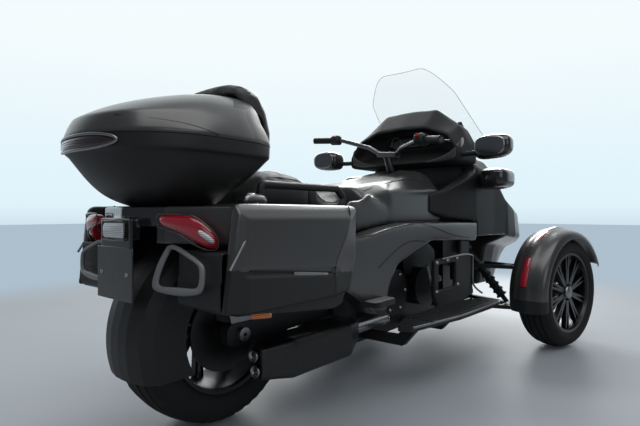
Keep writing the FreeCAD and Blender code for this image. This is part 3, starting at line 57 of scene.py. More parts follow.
# Floor, backdrop and light
# A plain pale studio: a smooth floor, a bright wall all round, and large soft lamps overhead.
class Wire:
    """One socket of a material's nodes, for use in sums."""

    def __init__(self, tree, socket=None):
        self.tree = tree
        self.socket = socket

    def node(self, kind, settings, sockets, out=0):
        """Adds a node: its settings first, then the values or links of its sockets."""
        made = self.tree.nodes.new(kind)
        for name, value in settings.items():
            if name == "stops":
                ramp = made.color_ramp
                for index, (place, colour) in enumerate(value):
                    stop = ramp.elements[index] if index < 2 else ramp.elements.new(place)
                    stop.position = place
                    stop.color = colour
            else:
                setattr(made, name, value)
        for key, value in sockets.items():
            if isinstance(value, Wire):
                self.tree.links.new(value.socket, made.inputs[key])
            else:
                made.inputs[key].default_value = value
        return Wire(self.tree, made.outputs[out])

    def math(self, operation, first, second=0.0):
        return self.node("ShaderNodeMath", {"operation": operation}, {0: first, 1: second})

    def __add__(self, other):
        return self.math("ADD", self, other)

    def __radd__(self, other):
        return self.math("ADD", other, self)

    def __sub__(self, other):
        return self.math("SUBTRACT", self, other)

    def __rsub__(self, other):
        return self.math("SUBTRACT", other, self)

    def __mul__(self, other):
        return self.math("MULTIPLY", self, other)

    def __rmul__(self, other):
        return self.math("MULTIPLY", other, self)

    def __truediv__(self, other):
        return self.math("DIVIDE", self, other)

    def __pow__(self, other):
        return self.math("POWER", self, other)

    def step(self, low, high):
        """0 below low, 1 above high and smooth between them."""
        return self.node("ShaderNodeMapRange", {"interpolation_type": "SMOOTHSTEP"},
                         {"Value": self, "From Min": low, "From Max": high})

    def noise(self, scale, detail=2.0, roughness=0.5):
        """Even noise over the piece, its scale in lumps to the metre."""
        return self.node("ShaderNodeTexNoise", {},
                         {"Vector": self, "Scale": scale, "Detail": detail, "Roughness": roughness})

    def blend(self, first, second):
        """The first colour where this value is 0, the second where it is 1."""
        return self.node("ShaderNodeMix", {"data_type": "RGBA"}, {"Factor": self, 6: first, 7: second}, out=2)

    def bump(self, strength, depth):
        """A normal from this height."""
        return self.node("ShaderNodeBump", {}, {"Height": self, "Strength": strength, "Distance": depth})


def new_finish(name, **constants):
    """A material with one surface shader, whose fixed numbers go straight on its sockets."""
    material = bpy.data.materials.new(name)
    material.use_nodes = True
    tree = material.node_tree
    shader = tree.nodes["Principled BSDF"]
    for key, value in constants.items():
        shader.inputs[key.replace("_", " ")].default_value = value
    place = Wire(tree).node("ShaderNodeTexCoord", {}, {}, out=3)
    return material, shader, place


def drive(shader, **links):
    """Joins what varies over the surface to the shader."""
    for key, wire in links.items():
        wire.tree.links.new(wire.socket, shader.inputs[key.replace("_", " ")])


def colour(red, green, blue):
    return (red, green, blue, 1)


floor_finish, shader, place = new_finish("floor", Roughness=0.4)
cloud = place.noise(1.3, 3.0)
drive(shader, Base_Color=cloud.blend(colour(0.265, 0.285, 0.31), colour(0.31, 0.325, 0.345)))
floor_mesh = bpy.data.meshes.new("floor")
floor_mesh.from_pydata([(-30, -30, 0), (30, -30, 0), (30, 30, 0), (-30, 30, 0)], [], [(0, 1, 2, 3)])
floor_mesh.materials.append(floor_finish)
floor = bpy.data.objects.new("floor", floor_mesh)
bpy.context.scene.collection.objects.link(floor)
# The floor turns into the pale wall in a soft ring round the vehicle, for the camera.
WALL_FOOT = colour(0.42, 0.52, 0.61)
WALL_LOW = colour(0.75, 0.90, 0.97)
WALL_HIGH = colour(0.90, 0.965, 0.985)
tree = floor_finish.node_tree
away = place.node("ShaderNodeVectorMath", {"operation": "LENGTH"}, {0: place}, out=1)
rays = tree.nodes.new("ShaderNodeLightPath")
camera_ray = Wire(tree, rays.outputs["Is Camera Ray"])
glow = tree.nodes.new("ShaderNodeEmission")
glow.inputs["Color"].default_value = WALL_FOOT
turn = tree.nodes.new("ShaderNodeMixShader")
tree.links.new((away.step(2.7, 3.9) * camera_ray).socket, turn.inputs["Fac"])
tree.links.new(shader.outputs[0], turn.inputs[1])
tree.links.new(glow.outputs[0], turn.inputs[2])
tree.links.new(turn.outputs[0], tree.nodes["Material Output"].inputs["Surface"])

world = bpy.data.worlds.new("studio")
world.use_nodes = True
bpy.context.scene.world = world
tree = world.node_tree
plain = tree.nodes["Background"]
plain.inputs["Color"].default_value = colour(0.80, 0.87, 0.92)
plain.inputs["Strength"].default_value = 0.6
shown = tree.nodes.new("ShaderNodeBackground")
direction = Wire(tree).node("ShaderNodeTexCoord", {}, {}, out=0)
rise = direction.node("ShaderNodeSeparateXYZ", {}, {0: direction}, out=2)
wall = rise.step(-0.10, 0.03).blend(WALL_FOOT, rise.step(0.02, 0.35).blend(WALL_LOW, WALL_HIGH))
rays = tree.nodes.new("ShaderNodeLightPath")
# The ceiling and the room behind the photographer are dim, which metal and glossy plastic show.
towards = direction.node("ShaderNodeVectorMath", {"operation": "DOT_PRODUCT"},
                         {0: direction, 1: (0.765, 0.644, 0.0)}, out=1)
dim = (1 - towards.step(0.05, 0.65)) * Wire(tree, rays.outputs["Is Glossy Ray"])
room = dim.blend(wall, colour(0.10, 0.115, 0.13))
tree.links.new(room.socket, shown.inputs["Color"])
seen = Wire(tree, rays.outputs["Is Camera Ray"])
for ray in ("Is Glossy Ray", "Is Transmission Ray"):
    seen = seen.math("MAXIMUM", seen, Wire(tree, rays.outputs[ray]))
pick = tree.nodes.new("ShaderNodeMixShader")
tree.links.new(seen.socket, pick.inputs["Fac"])
tree.links.new(plain.outputs[0], pick.inputs[1])
tree.links.new(shown.outputs[0], pick.inputs[2])
tree.links.new(pick.outputs[0], tree.nodes["World Output"].inputs["Surface"])


def lamp(name, place, target, width, height, power):
    """A large soft panel lamp that faces the target."""
    data = bpy.data.lights.new(name, "AREA")
    data.shape = "RECTANGLE"
    data.size = width
    data.size_y = height
    data.energy = power
    made = bpy.data.objects.new(name, data)
    made.location = place
    made.rotation_euler = (Vector(target) - Vector(place)).to_track_quat("-Z", "Y").to_euler()
    bpy.context.scene.collection.objects.link(made)


lamp("ceiling", (-1.0, -1.5, 4.2), (-0.4, -0.8, 0.2), 5.0, 3.0, 80)
lamp("overhead_strip", (2.5, 1.1, 3.2), (-0.3, -0.2, 0.7), 2.6, 0.8, 100)
lamp("far_wall", (4.5, 3.0, 2.2), (0, 0, 0.7), 6.0, 3.0, 130)
lamp("near_fill", (-2.5, -5.0, 2.6), (0, 0, 0.5), 4.0, 2.5, 30)


# Paint and plastics
# Satin dark metallic paint on the body panels; grained black mouldings; polished black trim.
def satin_paint(name, tone, roughness=0.3):
    material, shader, place = new_finish(name, Metallic=0.7, Coat_Weight=0.35, Coat_Roughness=0.22)
    flake = place.node("ShaderNodeTexVoronoi", {}, {"Vector": place, "Scale": 2600.0}, out=1)
    spread = place.noise(3.0, 3.0)
    dark = colour(tone * 0.85, tone * 0.84, tone * 0.84)
    light = colour(tone * 1.2, tone * 1.18, tone * 1.18)
    drive(shader, Base_Color=(place.noise(900.0, 1.0) * 0.7 + spread * 0.3).blend(dark, light),
          Roughness=spread * 0.08 + (roughness - 0.04),
          Normal=place.noise(420.0, 1.0).bump(0.05, 0.0006))
    return material


def grained_plastic(name, tone, roughness=0.5, grain=0.0004):
    material, shader, place = new_finish(name, Specular_IOR_Level=0.45)
    cells = place.node("ShaderNodeTexVoronoi", {"feature": "SMOOTH_F1"},
                       {"Vector": place, "Scale": 900.0, "Smoothness": 0.5})
    dust = place.noise(6.0, 4.0)
    drive(shader, Base_Color=dust.blend(colour(tone * 0.8, tone * 0.8, tone * 0.82),
                                        colour(tone * 1.25, tone * 1.25, tone * 1.28)),
          Roughness=dust * 0.14 + (roughness - 0.07),
          Normal=cells.bump(0.35, grain))
    return material


def polished_black(name, tone=0.012):
    material, shader, place = new_finish(name, Coat_Weight=0.6, Coat_Roughness=0.04)
    smears = place.noise(5.0, 4.0)
    drive(shader, Base_Color=smears.blend(colour(tone, tone, tone * 1.05),
                                          colour(tone * 1.5, tone * 1.5, tone * 1.6)),
          Roughness=smears * 0.12 + 0.1)
    return material


def dress(material, *names):
    """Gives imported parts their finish."""
    for name in names:
        slots = nodes[name].material_slots
        for slot in slots:
            slot.material = material


body_paint = satin_paint("satin_paint", 0.085)
black_plastic = grained_plastic("black_plastic", 0.010)
guard_grey = grained_plastic("guard_grey", 0.13, 0.4)
# The dash's black plastic is darker than the other black mouldings: painted shade on the hood.
dash_shaded_black = grained_plastic("dash_shaded_black", 0.007, 0.66)
gloss_black = polished_black("gloss_black")
frame_paint = grained_plastic("frame_paint", 0.009, 0.4, 0.0001)
dress(body_paint, "saddlebag_door_right", "saddlebag_door_left", "top_case_lid", "tank_cover",
      "side_fairing_right", "side_fairing_left", "nose_cowl", "hood", "fender_right", "fender_left")
dress(black_plastic, "rear_mudguard", "saddlebag_tub_right", "saddlebag_tub_left", "top_case_tub",
      "grab_handles", "lower_cowls", "footboards", "front_trunk", "front_grille", "side_wings",
      "dash_console", "screen_arms", "bar_controls")
dress(gloss_black, "tail_fairing", "mirrors")
dress(frame_paint, "main_frame", "swingarm", "suspension_arms", "shocks")


# Metal parts
# Cast wheels, engine cases, silencer, axle and bars.
def metal(name, tone, roughness, brushed=0.0):
    material, shader, place = new_finish(name, Metallic=1.0)
    grime = place.noise(14.0, 5.0, 0.6)
    drive(shader, Base_Color=grime.blend(colour(tone * 0.75, tone * 0.75, tone * 0.77),
                                         colour(tone * 1.15, tone * 1.15, tone * 1.17)),
          Roughness=grime * 0.2 + (roughness - 0.1),
          Normal=place.noise(700.0, 2.0).bump(0.15, 0.0003))
    return material


black_alloy = metal("black_alloy", 0.06, 0.38)
bare_alloy = metal("bare_alloy", 0.35, 0.35)
steel = metal("steel", 0.4, 0.28)
dark_alloy = metal("dark_alloy", 0.17, 0.34)
dress(dark_alloy, "handlebar")
dress(black_alloy, "engine_block", "muffler", "rim_front_right", "rim_front_left", "rim_rear")
dress(bare_alloy, "rear_caliper", "knuckle_right", "knuckle_left", "tail_brackets")
dress(steel, "rear_axle", "exhaust_pipe", "steering_column")


# Rubber
# Road tyres and grips: matte black with a fine grain, greyer where the road has worn them.
def rubber(name, tone, roughness):
    material, shader, place = new_finish(name, Specular_IOR_Level=0.3)
    wear = place.noise(18.0, 5.0, 0.6)
    drive(shader, Base_Color=wear.blend(colour(tone * 0.8, tone * 0.8, tone * 0.8),
                                        colour(tone * 1.3, tone * 1.3, tone * 1.28)),
          Roughness=wear * 0.15 + (roughness - 0.08),
          Normal=place.noise(1200.0, 2.0).bump(0.2, 0.0004))
    return material


tyre_rubber = rubber("tyre_rubber", 0.009, 0.72)
grip_rubber = rubber("grip_rubber", 0.012, 0.6)
dress(tyre_rubber, "tyre_front_right", "tyre_front_left", "tyre_rear")
dress(grip_rubber, "grips")


# Seats
# Grained black seat cover over foam.
def seat_cover(name, tone):
    material, shader, place = new_finish(name, Sheen_Weight=0.1, Specular_IOR_Level=0.35)
    pores = place.node("ShaderNodeTexVoronoi", {"feature": "DISTANCE_TO_EDGE"}, {"Vector": place, "Scale": 420.0})
    wear = place.noise(9.0, 3.0)
    drive(shader, Base_Color=wear.blend(colour(tone * 0.8, tone * 0.8, tone * 0.82),
                                        colour(tone * 1.3, tone * 1.3, tone * 1.32)),
          Roughness=wear * 0.1 + 0.5,
          Normal=pores.step(0.0, 0.12).bump(0.3, 0.0005))
    return material


seat_vinyl = seat_cover("seat_vinyl", 0.02)
dress(seat_vinyl, "rider_seat", "passenger_seat", "backrest_pad")


# Lamps, screen and plate
# Clear and red mouldings, and the blank plate.
def lens(name, tint, glow, alpha=1.0):
    material, shader, place = new_finish(name, Coat_Weight=1.0, Coat_Roughness=0.03, Alpha=alpha)
    prisms = place.node("ShaderNodeTexWave", {"wave_type": "BANDS", "bands_direction": "Z"},
                        {"Vector": place, "Scale": 60.0})
    deep = colour(tint[0] * 0.45, tint[1] * 0.45, tint[2] * 0.45)
    drive(shader, Base_Color=prisms.blend(deep, colour(*tint)), Roughness=prisms * 0.1 + 0.08)
    # A faint emission; on reflectors and buttons, which are no lamps, it is a painted glow.
    shader.inputs["Emission Color"].default_value = colour(*tint)
    shader.inputs["Emission Strength"].default_value = glow
    return material


# The red lens's faint glow is painted light where it covers the fender reflectors.
red_lens = lens("red_lens", (0.30, 0.008, 0.02), 0.1)
clear_lens = lens("clear_lens", (0.55, 0.58, 0.6), 0.0)
dress(red_lens, "tail_lamps", "top_case_lamps")
dress(clear_lens, "headlamps", "tail_clear_lamp")

screen_finish, shader, place = new_finish("screen_plastic", Coat_Weight=1.0, Coat_Roughness=0.02,
                                          Base_Color=colour(0.78, 0.84, 0.88), Roughness=0.04)
drive(shader, Alpha=place.noise(3.0, 2.0) * 0.02 + 0.03)
dress(screen_finish, "windscreen")
plate_finish, shader, place = new_finish("plate_enamel", Coat_Weight=0.4)
drive(shader, Base_Color=place.noise(20.0, 4.0).blend(colour(0.02, 0.02, 0.02), colour(0.035, 0.035, 0.035)),
      Roughness=place.noise(60.0, 3.0) * 0.2 + 0.25)
dress(plate_finish, "number_plate")

# Rear axle
# The CAD's own measure: every place below is read in millimetres forward of the rear axle, to the
# left of the middle line and above the floor.
REAR_AXLE = -0.96


def at(forward, left, up):
    return Vector((REAR_AXLE + forward / 1000, left / 1000, up / 1000))


def add_piece(name, mesh, body, *materials):
    """A new piece in the scene, riding on its body."""
    piece = bpy.data.objects.new(name, mesh)
    bpy.context.scene.collection.objects.link(piece)
    for material in materials:
        mesh.materials.append(material)
    for face in mesh.polygons:
        face.use_smooth = True
    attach(piece, body)
    return piece


# Top case shells
# Two thin mouldings with an oval plan, round at the rear and square at the front: a painted lid with a
# soft shoulder over a grained black tub, meeting at the seam. The front of the lid is black.
def oval(rear, front, half, rear_up, front_up, count=40):
    """One level of the case: a rounded outline whose height changes evenly from rear to front."""
    middle = (rear + front) / 2
    reach = (front - rear) / 2
    ring = []
    for index in range(count):
        angle = 2 * math.pi * (index + 0.5) / count
        power = 2 / (2.1 if math.cos(angle) < 0 else 4.2)
        along = math.copysign(abs(math.cos(angle)) ** power, math.cos(angle))
        across = math.copysign(abs(math.sin(angle)) ** power, math.sin(angle))
        forward = middle + reach * along
        share = (forward - rear) / (front - rear)
        ring.append(at(forward, half * across, rear_up + (front_up - rear_up) * share))
    return ring


def stretched(name, rings, cap_last=True, cap_first=False, round_ring=True):
    """A mesh of quads between rings that have the same number of points."""
    shape = bmesh.new()
    rows = [[shape.verts.new(point) for point in ring] for ring in rings]
    count = len(rows[0])
    for low, high in zip(rows, rows[1:]):
        for index in range(count if round_ring else count - 1):
            after = (index + 1) % count
            shape.faces.new((low[index], low[after], high[after], high[index]))
    if cap_last:
        shape.faces.new(rows[-1])
    if cap_first:
        shape.faces.new(rows[0][::-1])
    bmesh.ops.recalc_face_normals(shape, faces=shape.faces)
    mesh = bpy.data.meshes.new(name)
    shape.to_mesh(mesh)
    shape.free()
    return mesh


def crease_levels(mesh, count, levels):
    """Holds the edges round some of the rings sharp: {ring: strength}."""
    creases = mesh.attributes.new("crease_edge", "FLOAT", "EDGE")
    for edge in mesh.edges:
        first, second = edge.vertices
        ring = first // count
        if ring == second // count and ring in levels:
            creases.data[edge.index].value = levels[ring]


def refine(piece, thickness=0.0, rounds=2):
    """Gives a shell its wall, then smooths it."""
    if thickness:
        wall = piece.modifiers.new("wall", "SOLIDIFY")
        wall.thickness = thickness
        wall.offset = -1
        wall.use_even_offset = True
        wall.edge_crease_outer = 0.9
        wall.edge_crease_inner = 0.9
    finer = piece.modifiers.new("finer", "SUBSURF")
    finer.levels = rounds
    finer.render_levels = rounds


CASE_POINTS = 40
lid_levels = [
    oval(-448, 91, 286, 897.6, 897.6), oval(-449, 92, 287, 903, 903), oval(-440, 88, 276, 930, 934),
    oval(-428, 70, 262, 952, 968), oval(-372, 66, 240, 986, 1008), oval(-290, 62, 206, 1017, 1036),
    oval(-190, 56, 160, 1045, 1058), oval(-110, 40, 90, 1062, 1068),
]
lid_mesh = stretched("lid", lid_levels)
crease_levels(lid_mesh, CASE_POINTS, {0: 1.0, 1: 0.5, 3: 0.55})
lid = add_piece("top_case_lid_shell", lid_mesh, "top_case_lid", body_paint, black_plastic)
refine(lid, 0.005)
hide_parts("top_case_lid")
tub_levels = [
    oval(-448, 91, 286, 896.8, 896.8), oval(-449, 92, 286.5, 888, 888), oval(-447, 90, 285, 858, 858),
    oval(-436, 82, 276, 850, 850), oval(-396, 30, 256, 800, 800), oval(-350, -40, 222, 752, 752),
    oval(-300, -60, 176, 722, 722), oval(-252, -66, 140, 707, 707),
]
tub_mesh = stretched("tub", tub_levels)
crease_levels(tub_mesh, CASE_POINTS, {0: 1.0, 2: 0.5, 3: 0.4, 7: 0.8})
tub = add_piece("top_case_tub_shell", tub_mesh, "chassis", black_plastic)
refine(tub, 0.005)
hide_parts("top_case_tub")
for face in lid_mesh.polygons:
    edge_place = REAR_AXLE + (-0.019 - 0.033 * (face.center.z - 0.905) / 0.063)
    if face.center.x > max(edge_place, REAR_AXLE - 0.06):
        face.material_index = 1


# Rounded mouldings
# Injection-moulded panels have no hard edges. Each panel is its solid's form, remade as one even skin
# and eased, so that its edges and the joins between its faces are round. Its flat stretches need few
# points, so part of the triangles is left out again, which keeps the whole model under a million.
TRIANGLES_KEPT = 0.75


def eased(name, body, size, rounds, *materials):
    """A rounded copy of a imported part, with points every so many millimetres."""
    mesh = nodes[name].data.copy()
    mesh.materials.clear()
    piece = add_piece(name + "_skin", mesh, body, *materials)
    even = piece.modifiers.new("even", "REMESH")
    even.mode = "VOXEL"
    even.voxel_size = size / 1000
    even.use_smooth_shade = True
    ease = piece.modifiers.new("ease", "SMOOTH")
    ease.factor = 0.5
    ease.iterations = rounds
    fewer = piece.modifiers.new("fewer", "DECIMATE")
    fewer.ratio = TRIANGLES_KEPT
    settle(piece)
    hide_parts(name)
    return piece


def settle(piece):
    """Makes what the modifiers give the piece's own mesh."""
    view = bpy.context.evaluated_depsgraph_get()
    made = bpy.data.meshes.new_from_object(piece.evaluated_get(view))
    piece.modifiers.clear()
    piece.data = made
    for face in made.polygons:
        face.use_smooth = True


side_panels = {}
for side in ("right", "left"):
    door = eased(f"saddlebag_door_{side}", f"saddlebag_door_{side}", 4, 6, body_paint)
    door.data.materials.append(black_plastic)
    for face in door.data.polygons:
        line = 0.541 - 0.098 * (face.center.x - REAR_AXLE + 0.196)
        if face.center.z < line:
            face.material_index = 1
    bag = eased(f"saddlebag_tub_{side}", "chassis", 5, 4, black_plastic)
    side_panels[side] = eased(f"side_fairing_{side}", "chassis", 6, 10, body_paint)
for name, size, rounds, material, slot in (
        ("tank_cover", 8, 30, body_paint, "body_paint"), ("nose_cowl", 8, 12, body_paint, "body_paint"),
        ("tail_fairing", 4, 6, gloss_black, "gloss_black"), ("muffler", 4, 8, black_alloy, "black_alloy"),
        ("lower_cowls", 4, 4, black_plastic, "black_plastic"), ("hood", 5, 8, body_paint, "body_paint"),
        ("dash_console", 7, 30, dash_shaded_black, "black_plastic")):
    skin = eased(name, "hood" if name == "hood" else "chassis", size, rounds, material)
    if name == "tank_cover":
        tank = skin
    if name == "tail_fairing":
        skin.data.materials.append(body_paint)
        for face in skin.data.polygons:
            if abs(face.center.y) > 0.172:
                face.material_index = 1
    if name == "nose_cowl":
        skin.data.materials.append(black_plastic)
        for face in skin.data.polygons:
            if abs(face.normal.y) > 0.55 and face.center.x < at(2060, 0, 0).x:
                face.material_index = 1

# Saddles and back pad
# Moulded foam under a grained black cover. Each pad starts as a block a little smaller than the foam;
# the cover is blown up over it by cloth simulation and then lies flat only where the pad rests.
def padded_section(forward, half, low, high, count=28, power=3.6):
    """A rounded cross-section of a saddle, flat below and crowned on top."""
    ring = []
    middle = (low + high) / 2
    for index in range(count):
        angle = 2 * math.pi * (index + 0.5) / count
        across = math.copysign(abs(math.cos(angle)) ** (2 / power), math.cos(angle))
        rise = math.copysign(abs(math.sin(angle)) ** (2 / power), math.sin(angle))
        ring.append(at(forward, half * across, middle + (high - low) / 2 * rise))
    return ring


def upholster(piece, cap_mm, rests):
    """Blows the cover up from the block; points for which rests is true stay where they are."""
    even = piece.modifiers.new("even", "REMESH")
    even.mode = "VOXEL"
    even.voxel_size = 0.006
    settle(piece)
    start = [vertex.co.copy() for vertex in piece.data.vertices]
    held = piece.vertex_groups.new(name="held")
    held.add([index for index, point in enumerate(start) if rests(point)], 1.0, "REPLACE")
    cloth = piece.modifiers.new("cover", "CLOTH")
    cloth.settings.use_pressure = True
    cloth.settings.uniform_pressure_force = 4
    cloth.settings.effector_weights.gravity = 0
    cloth.settings.vertex_group_mass = "held"
    cloth.settings.quality = 4
    for number in range(1, 21):
        bpy.context.scene.frame_set(number)
    settle(piece)
    for vertex, origin in zip(piece.data.vertices, start):
        move = vertex.co - origin
        if move.length > cap_mm / 1000:
            vertex.co = origin + move.normalized() * cap_mm / 1000
    bpy.context.scene.frame_set(1)
    ease = piece.modifiers.new("ease", "SMOOTH")
    ease.factor = 0.5
    ease.iterations = 6
    settle(piece)
    refine(piece, rounds=1)
    settle(piece)


def seam(name, pad, body, places, radius=0.0016, closed=False, material=None):
    """A sewn or piped line lying on a pad, through the surface's nearest points."""
    line = bpy.data.curves.new(name, "CURVE")
    line.dimensions = "3D"
    line.bevel_depth = radius
    line.bevel_resolution = 2
    line.resolution_u = 4
    spline = line.splines.new("NURBS")
    spline.points.add(len(places) - 1)
    for point, place in zip(spline.points, places):
        found, spot, _, _ = pad.closest_point_on_mesh(place)
        point.co = (*spot, 1)
    spline.order_u = 3
    spline.use_endpoint_u = not closed
    spline.use_cyclic_u = closed
    line.materials.append(material or seam_thread)
    piece = bpy.data.objects.new(name, line)
    bpy.context.scene.collection.objects.link(piece)
    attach(piece, body)


seam_thread = grained_plastic("seam_piping", 0.012, 0.55, 0.0002)
rider_rows = [
    (352, 148, 700, 800), (372, 160, 694, 812), (394, 161, 690, 776), (430, 161, 672, 756),
    (470, 160, 652, 750), (520, 154, 645, 754), (560, 143, 643, 766), (594, 126, 643, 788),
]
passenger_rows = [
    (28, 150, 693, 734), (60, 160, 692, 766), (104, 163, 692, 822), (150, 163, 692, 832),
    (220, 162, 692, 833), (300, 162, 692, 827), (332, 156, 692, 808), (341, 146, 700, 796),
]
for name, rows in (("rider_seat", rider_rows), ("passenger_seat", passenger_rows)):
    rings = [padded_section(*row) for row in rows]
    saddle = add_piece(name + "_cover", stretched(name, rings, True, True), "chassis", seat_vinyl)
    upholster(saddle, 10, lambda point: point.z < 0.70)
    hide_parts(name)
    for side in (-1, 1):
        seam(f"{name}_piping_{'left' if side > 0 else 'right'}", saddle, "chassis",
             [at(row[0], side * row[1] * 0.93, row[3] - 10) for row in rows])
    seam(f"{name}_cross_seam", saddle, "chassis",
         [at(rows[4][0], side * rows[4][1] / 8, rows[4][3] + 10) for side in range(-7, 8)])

pad_profile = [
    (93, 934), (100, 922), (116, 930), (126, 985), (104, 1054), (64, 1104), (12, 1115), (-22, 1104),
    (-27, 1082), (40, 1077), (64, 1060), (84, 1000),
]
pad_rings = []
for left, share in ((-186, 0.62), (-176, 0.86), (-150, 0.97), (-90, 1), (0, 1.02), (90, 1), (150, 0.97), (176, 0.86),
                    (186, 0.62)):
    ring = []
    for index, (forward, up) in enumerate(pad_profile):
        mate = pad_profile[len(pad_profile) - 1 - index]
        centre = ((forward + mate[0]) / 2, (up + mate[1]) / 2)
        ring.append(at(centre[0] + (forward - centre[0]) * share, left,
                       centre[1] + (up - centre[1]) * share - 46 * (abs(left) / 186) ** 5))
    pad_rings.append(ring)
back_pad = add_piece("backrest_cover", stretched("backrest", pad_rings, True, True), "top_case_lid", seat_vinyl)
upholster(back_pad, 8, lambda point: point.x < at(100, 0, 0).x - (point.z - 0.93) * 0.35 and point.z < 1.07)
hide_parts("backrest_pad")
for side in (-1, 1):
    seam(f"backrest_piping_{'left' if side > 0 else 'right'}", back_pad, "top_case_lid",
         [at(forward, side * 160, up) for forward, up in pad_profile[2:8]])


# Tyres
# Radial road tyres: a round crown with four water grooves, cross cuts towards the shoulders, a rim
# guard bead and smooth side walls. The carcass is turned, and the cross cuts are pressed into it.
def tyre_profile(radius, width):
    """Half of the tyre's section, from the bead out to the middle of the tread: (across, radius)."""
    half = width / 2
    bead = 204.5
    wall = [
        (half - 13, bead), (half - 7, bead + 5), (half - 1.5, bead + 14), (half, radius - 52),
        (half - 3, radius - 37), (half - 9, radius - 25), (half - 17, radius - 16), (half - 27, radius - 10),
    ]
    tread = []
    for outer, inner in ((0.56, 0.5), (0.22, 0.16)):
        crown = radius - 13 * (half * outer / (half - 20)) ** 2.2
        tread += [(half * outer + 1, crown - 0.4), (half * outer, crown - 6), (half * inner, crown - 6),
                  (half * inner - 1, crown + 0.4)]
    return wall + tread + [(0, radius)]


def build_tyre(node, radius, width, body, steps=144):
    """A turned tyre on the node's own axle line, which is read from its box; the front tyres are turned as they stand
    parked.
    """
    low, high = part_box(node)
    centre = (Vector(low) + Vector(high)) / 2
    turn = Matrix.Rotation(-PARK if node != "tyre_rear" else 0, 3, "Z")
    half_section = tyre_profile(radius, width)
    section = half_section + [(-across, up) for across, up in reversed(half_section[:-1])]
    section += [(-(width / 2 - 19), 212), (-(width / 4), radius - 16), (width / 4, radius - 16), (width / 2 - 19, 212)]
    rings = []
    for step in range(steps):
        angle = 2 * math.pi * step / steps
        ring = []
        for across, up in section:
            share = abs(across) / (width / 2)
            cut = 3.5 if step % 3 == 0 and 0.66 < share < 0.93 and up > radius - 20 else 0
            reach = (up - cut) / 1000
            ring.append(centre + turn @ Vector((reach * math.sin(angle), across / 1000, reach * math.cos(angle))))
        rings.append(ring)
    mesh = stretched(node, rings + [rings[0]], cap_last=False)
    weld = bmesh.new()
    weld.from_mesh(mesh)
    bmesh.ops.remove_doubles(weld, verts=weld.verts, dist=0.00005)
    bmesh.ops.recalc_face_normals(weld, faces=weld.faces)
    weld.to_mesh(mesh)
    weld.free()
    tyre = add_piece(node + "_tread", mesh, body, tyre_rubber)
    tyre.modifiers.new("creases", "EDGE_SPLIT").split_angle = math.radians(40)
    settle(tyre)
    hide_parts(node)


PARK = math.radians(14.4 * 0.9)
for side in ("right", "left"):
    build_tyre(f"tyre_front_{side}", 281, 165, f"wheel_front_{side}")
build_tyre("tyre_rear", 303, 225, "wheel_rear")

# Top case fittings
# A smoked lamp in a hexagonal niche at the rear, framed by a thin satin moulding, and the dark joint
# that runs from the lid's shoulder down to the seam on each side.
def rail(name, body, places, radius_mm, material, closed=False, order=3):
    """A thin moulded strip, beading or wire along a few places."""
    line = bpy.data.curves.new(name, "CURVE")
    line.dimensions = "3D"
    line.bevel_depth = radius_mm / 1000
    line.bevel_resolution = 3
    line.resolution_u = 6
    line.use_fill_caps = True
    spline = line.splines.new("NURBS")
    spline.points.add(len(places) - 1)
    for point, place in zip(spline.points, places):
        point.co = (*place, 1)
    spline.order_u = order
    spline.use_endpoint_u = not closed
    spline.use_cyclic_u = closed
    line.materials.append(material)
    piece = bpy.data.objects.new(name, line)
    bpy.context.scene.collection.objects.link(piece)
    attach(piece, body)
    return piece


def moulding(name, body, sections, material, rounds=2):
    """A closed form through sections with the same number of points, smoothed."""
    piece = add_piece(name, stretched(name, sections, True, True), body, material)
    refine(piece, rounds=rounds)
    return piece


def case_rear(left):
    """How far back the tub reaches at a distance from the middle line."""
    return -179 - 270 * (1 - (abs(left) / 286) ** 2.1) ** (1 / 2.1)


smoked_lens = lens("smoked_lens", (0.03, 0.006, 0.006), 0.0)
satin_trim = metal("satin_trim", 0.34, 0.3)
columns = []
for index in range(25):
    left = -162 + 13.5 * index
    taper = max(0.0, abs(left) - 104)
    low, high = 857 + 0.22 * taper, 891.5 - 0.26 * taper
    skin = case_rear(left)
    columns.append([at(skin + 6, left, low), at(skin - 3, left, low), at(skin - 6, left, (low + high) / 2),
                    at(skin - 3, left, high), at(skin + 6, left, high)])
case_lamp = moulding("top_case_lamp", "chassis", columns, smoked_lens, 1)
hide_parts("top_case_lamps")
frame_line = [(-166, 875), (-150, 886), (-104, 893), (-50, 894), (0, 894), (50, 894), (104, 893), (150, 886),
              (166, 875), (150, 865), (104, 857), (50, 855), (0, 855), (-50, 855), (-104, 857), (-150, 865)]
rail("top_case_lamp_frame", "chassis", [at(case_rear(left) - 2.5, left, up) for left, up in frame_line],
     4.2, satin_trim, closed=True)
for index in range(3):
    up = 868 + 6 * index
    rail(f"top_case_lamp_rib_{index}", "chassis",
         [at(case_rear(left) - 5, left, up) for left in range(-120, 121, 20)], 1.2, gloss_black)
for side, sign in (("right", -1), ("left", 1)):
    seam(f"top_case_joint_{side}", lid, "top_case_lid",
         [at(forward, sign * left, up) for forward, left, up in (
             (-408, 140, 946), (-380, 196, 942), (-330, 242, 934), (-270, 268, 924), (-216, 282, 911), (-184, 286, 901))],
         radius=0.0022, material=grip_rubber)
    seam(f"top_case_front_edge_{side}", lid, "top_case_lid",
         [at(forward, sign * left, up) for forward, left, up in (
             (-19, 262, 900), (-26, 262, 930), (-50, 248, 966), (-30, 190, 1030), (-20, 120, 1060))],
         radius=0.0022, material=grip_rubber)
    seam(f"tank_crest_{side}", tank, "chassis",
         [at(forward, sign * left, up) for forward, left, up in (
             (640, 196, 790), (760, 205, 830), (900, 205, 856), (1028, 200, 869), (1160, 225, 830), (1294, 250, 790))],
         radius=0.0024, material=grip_rubber)
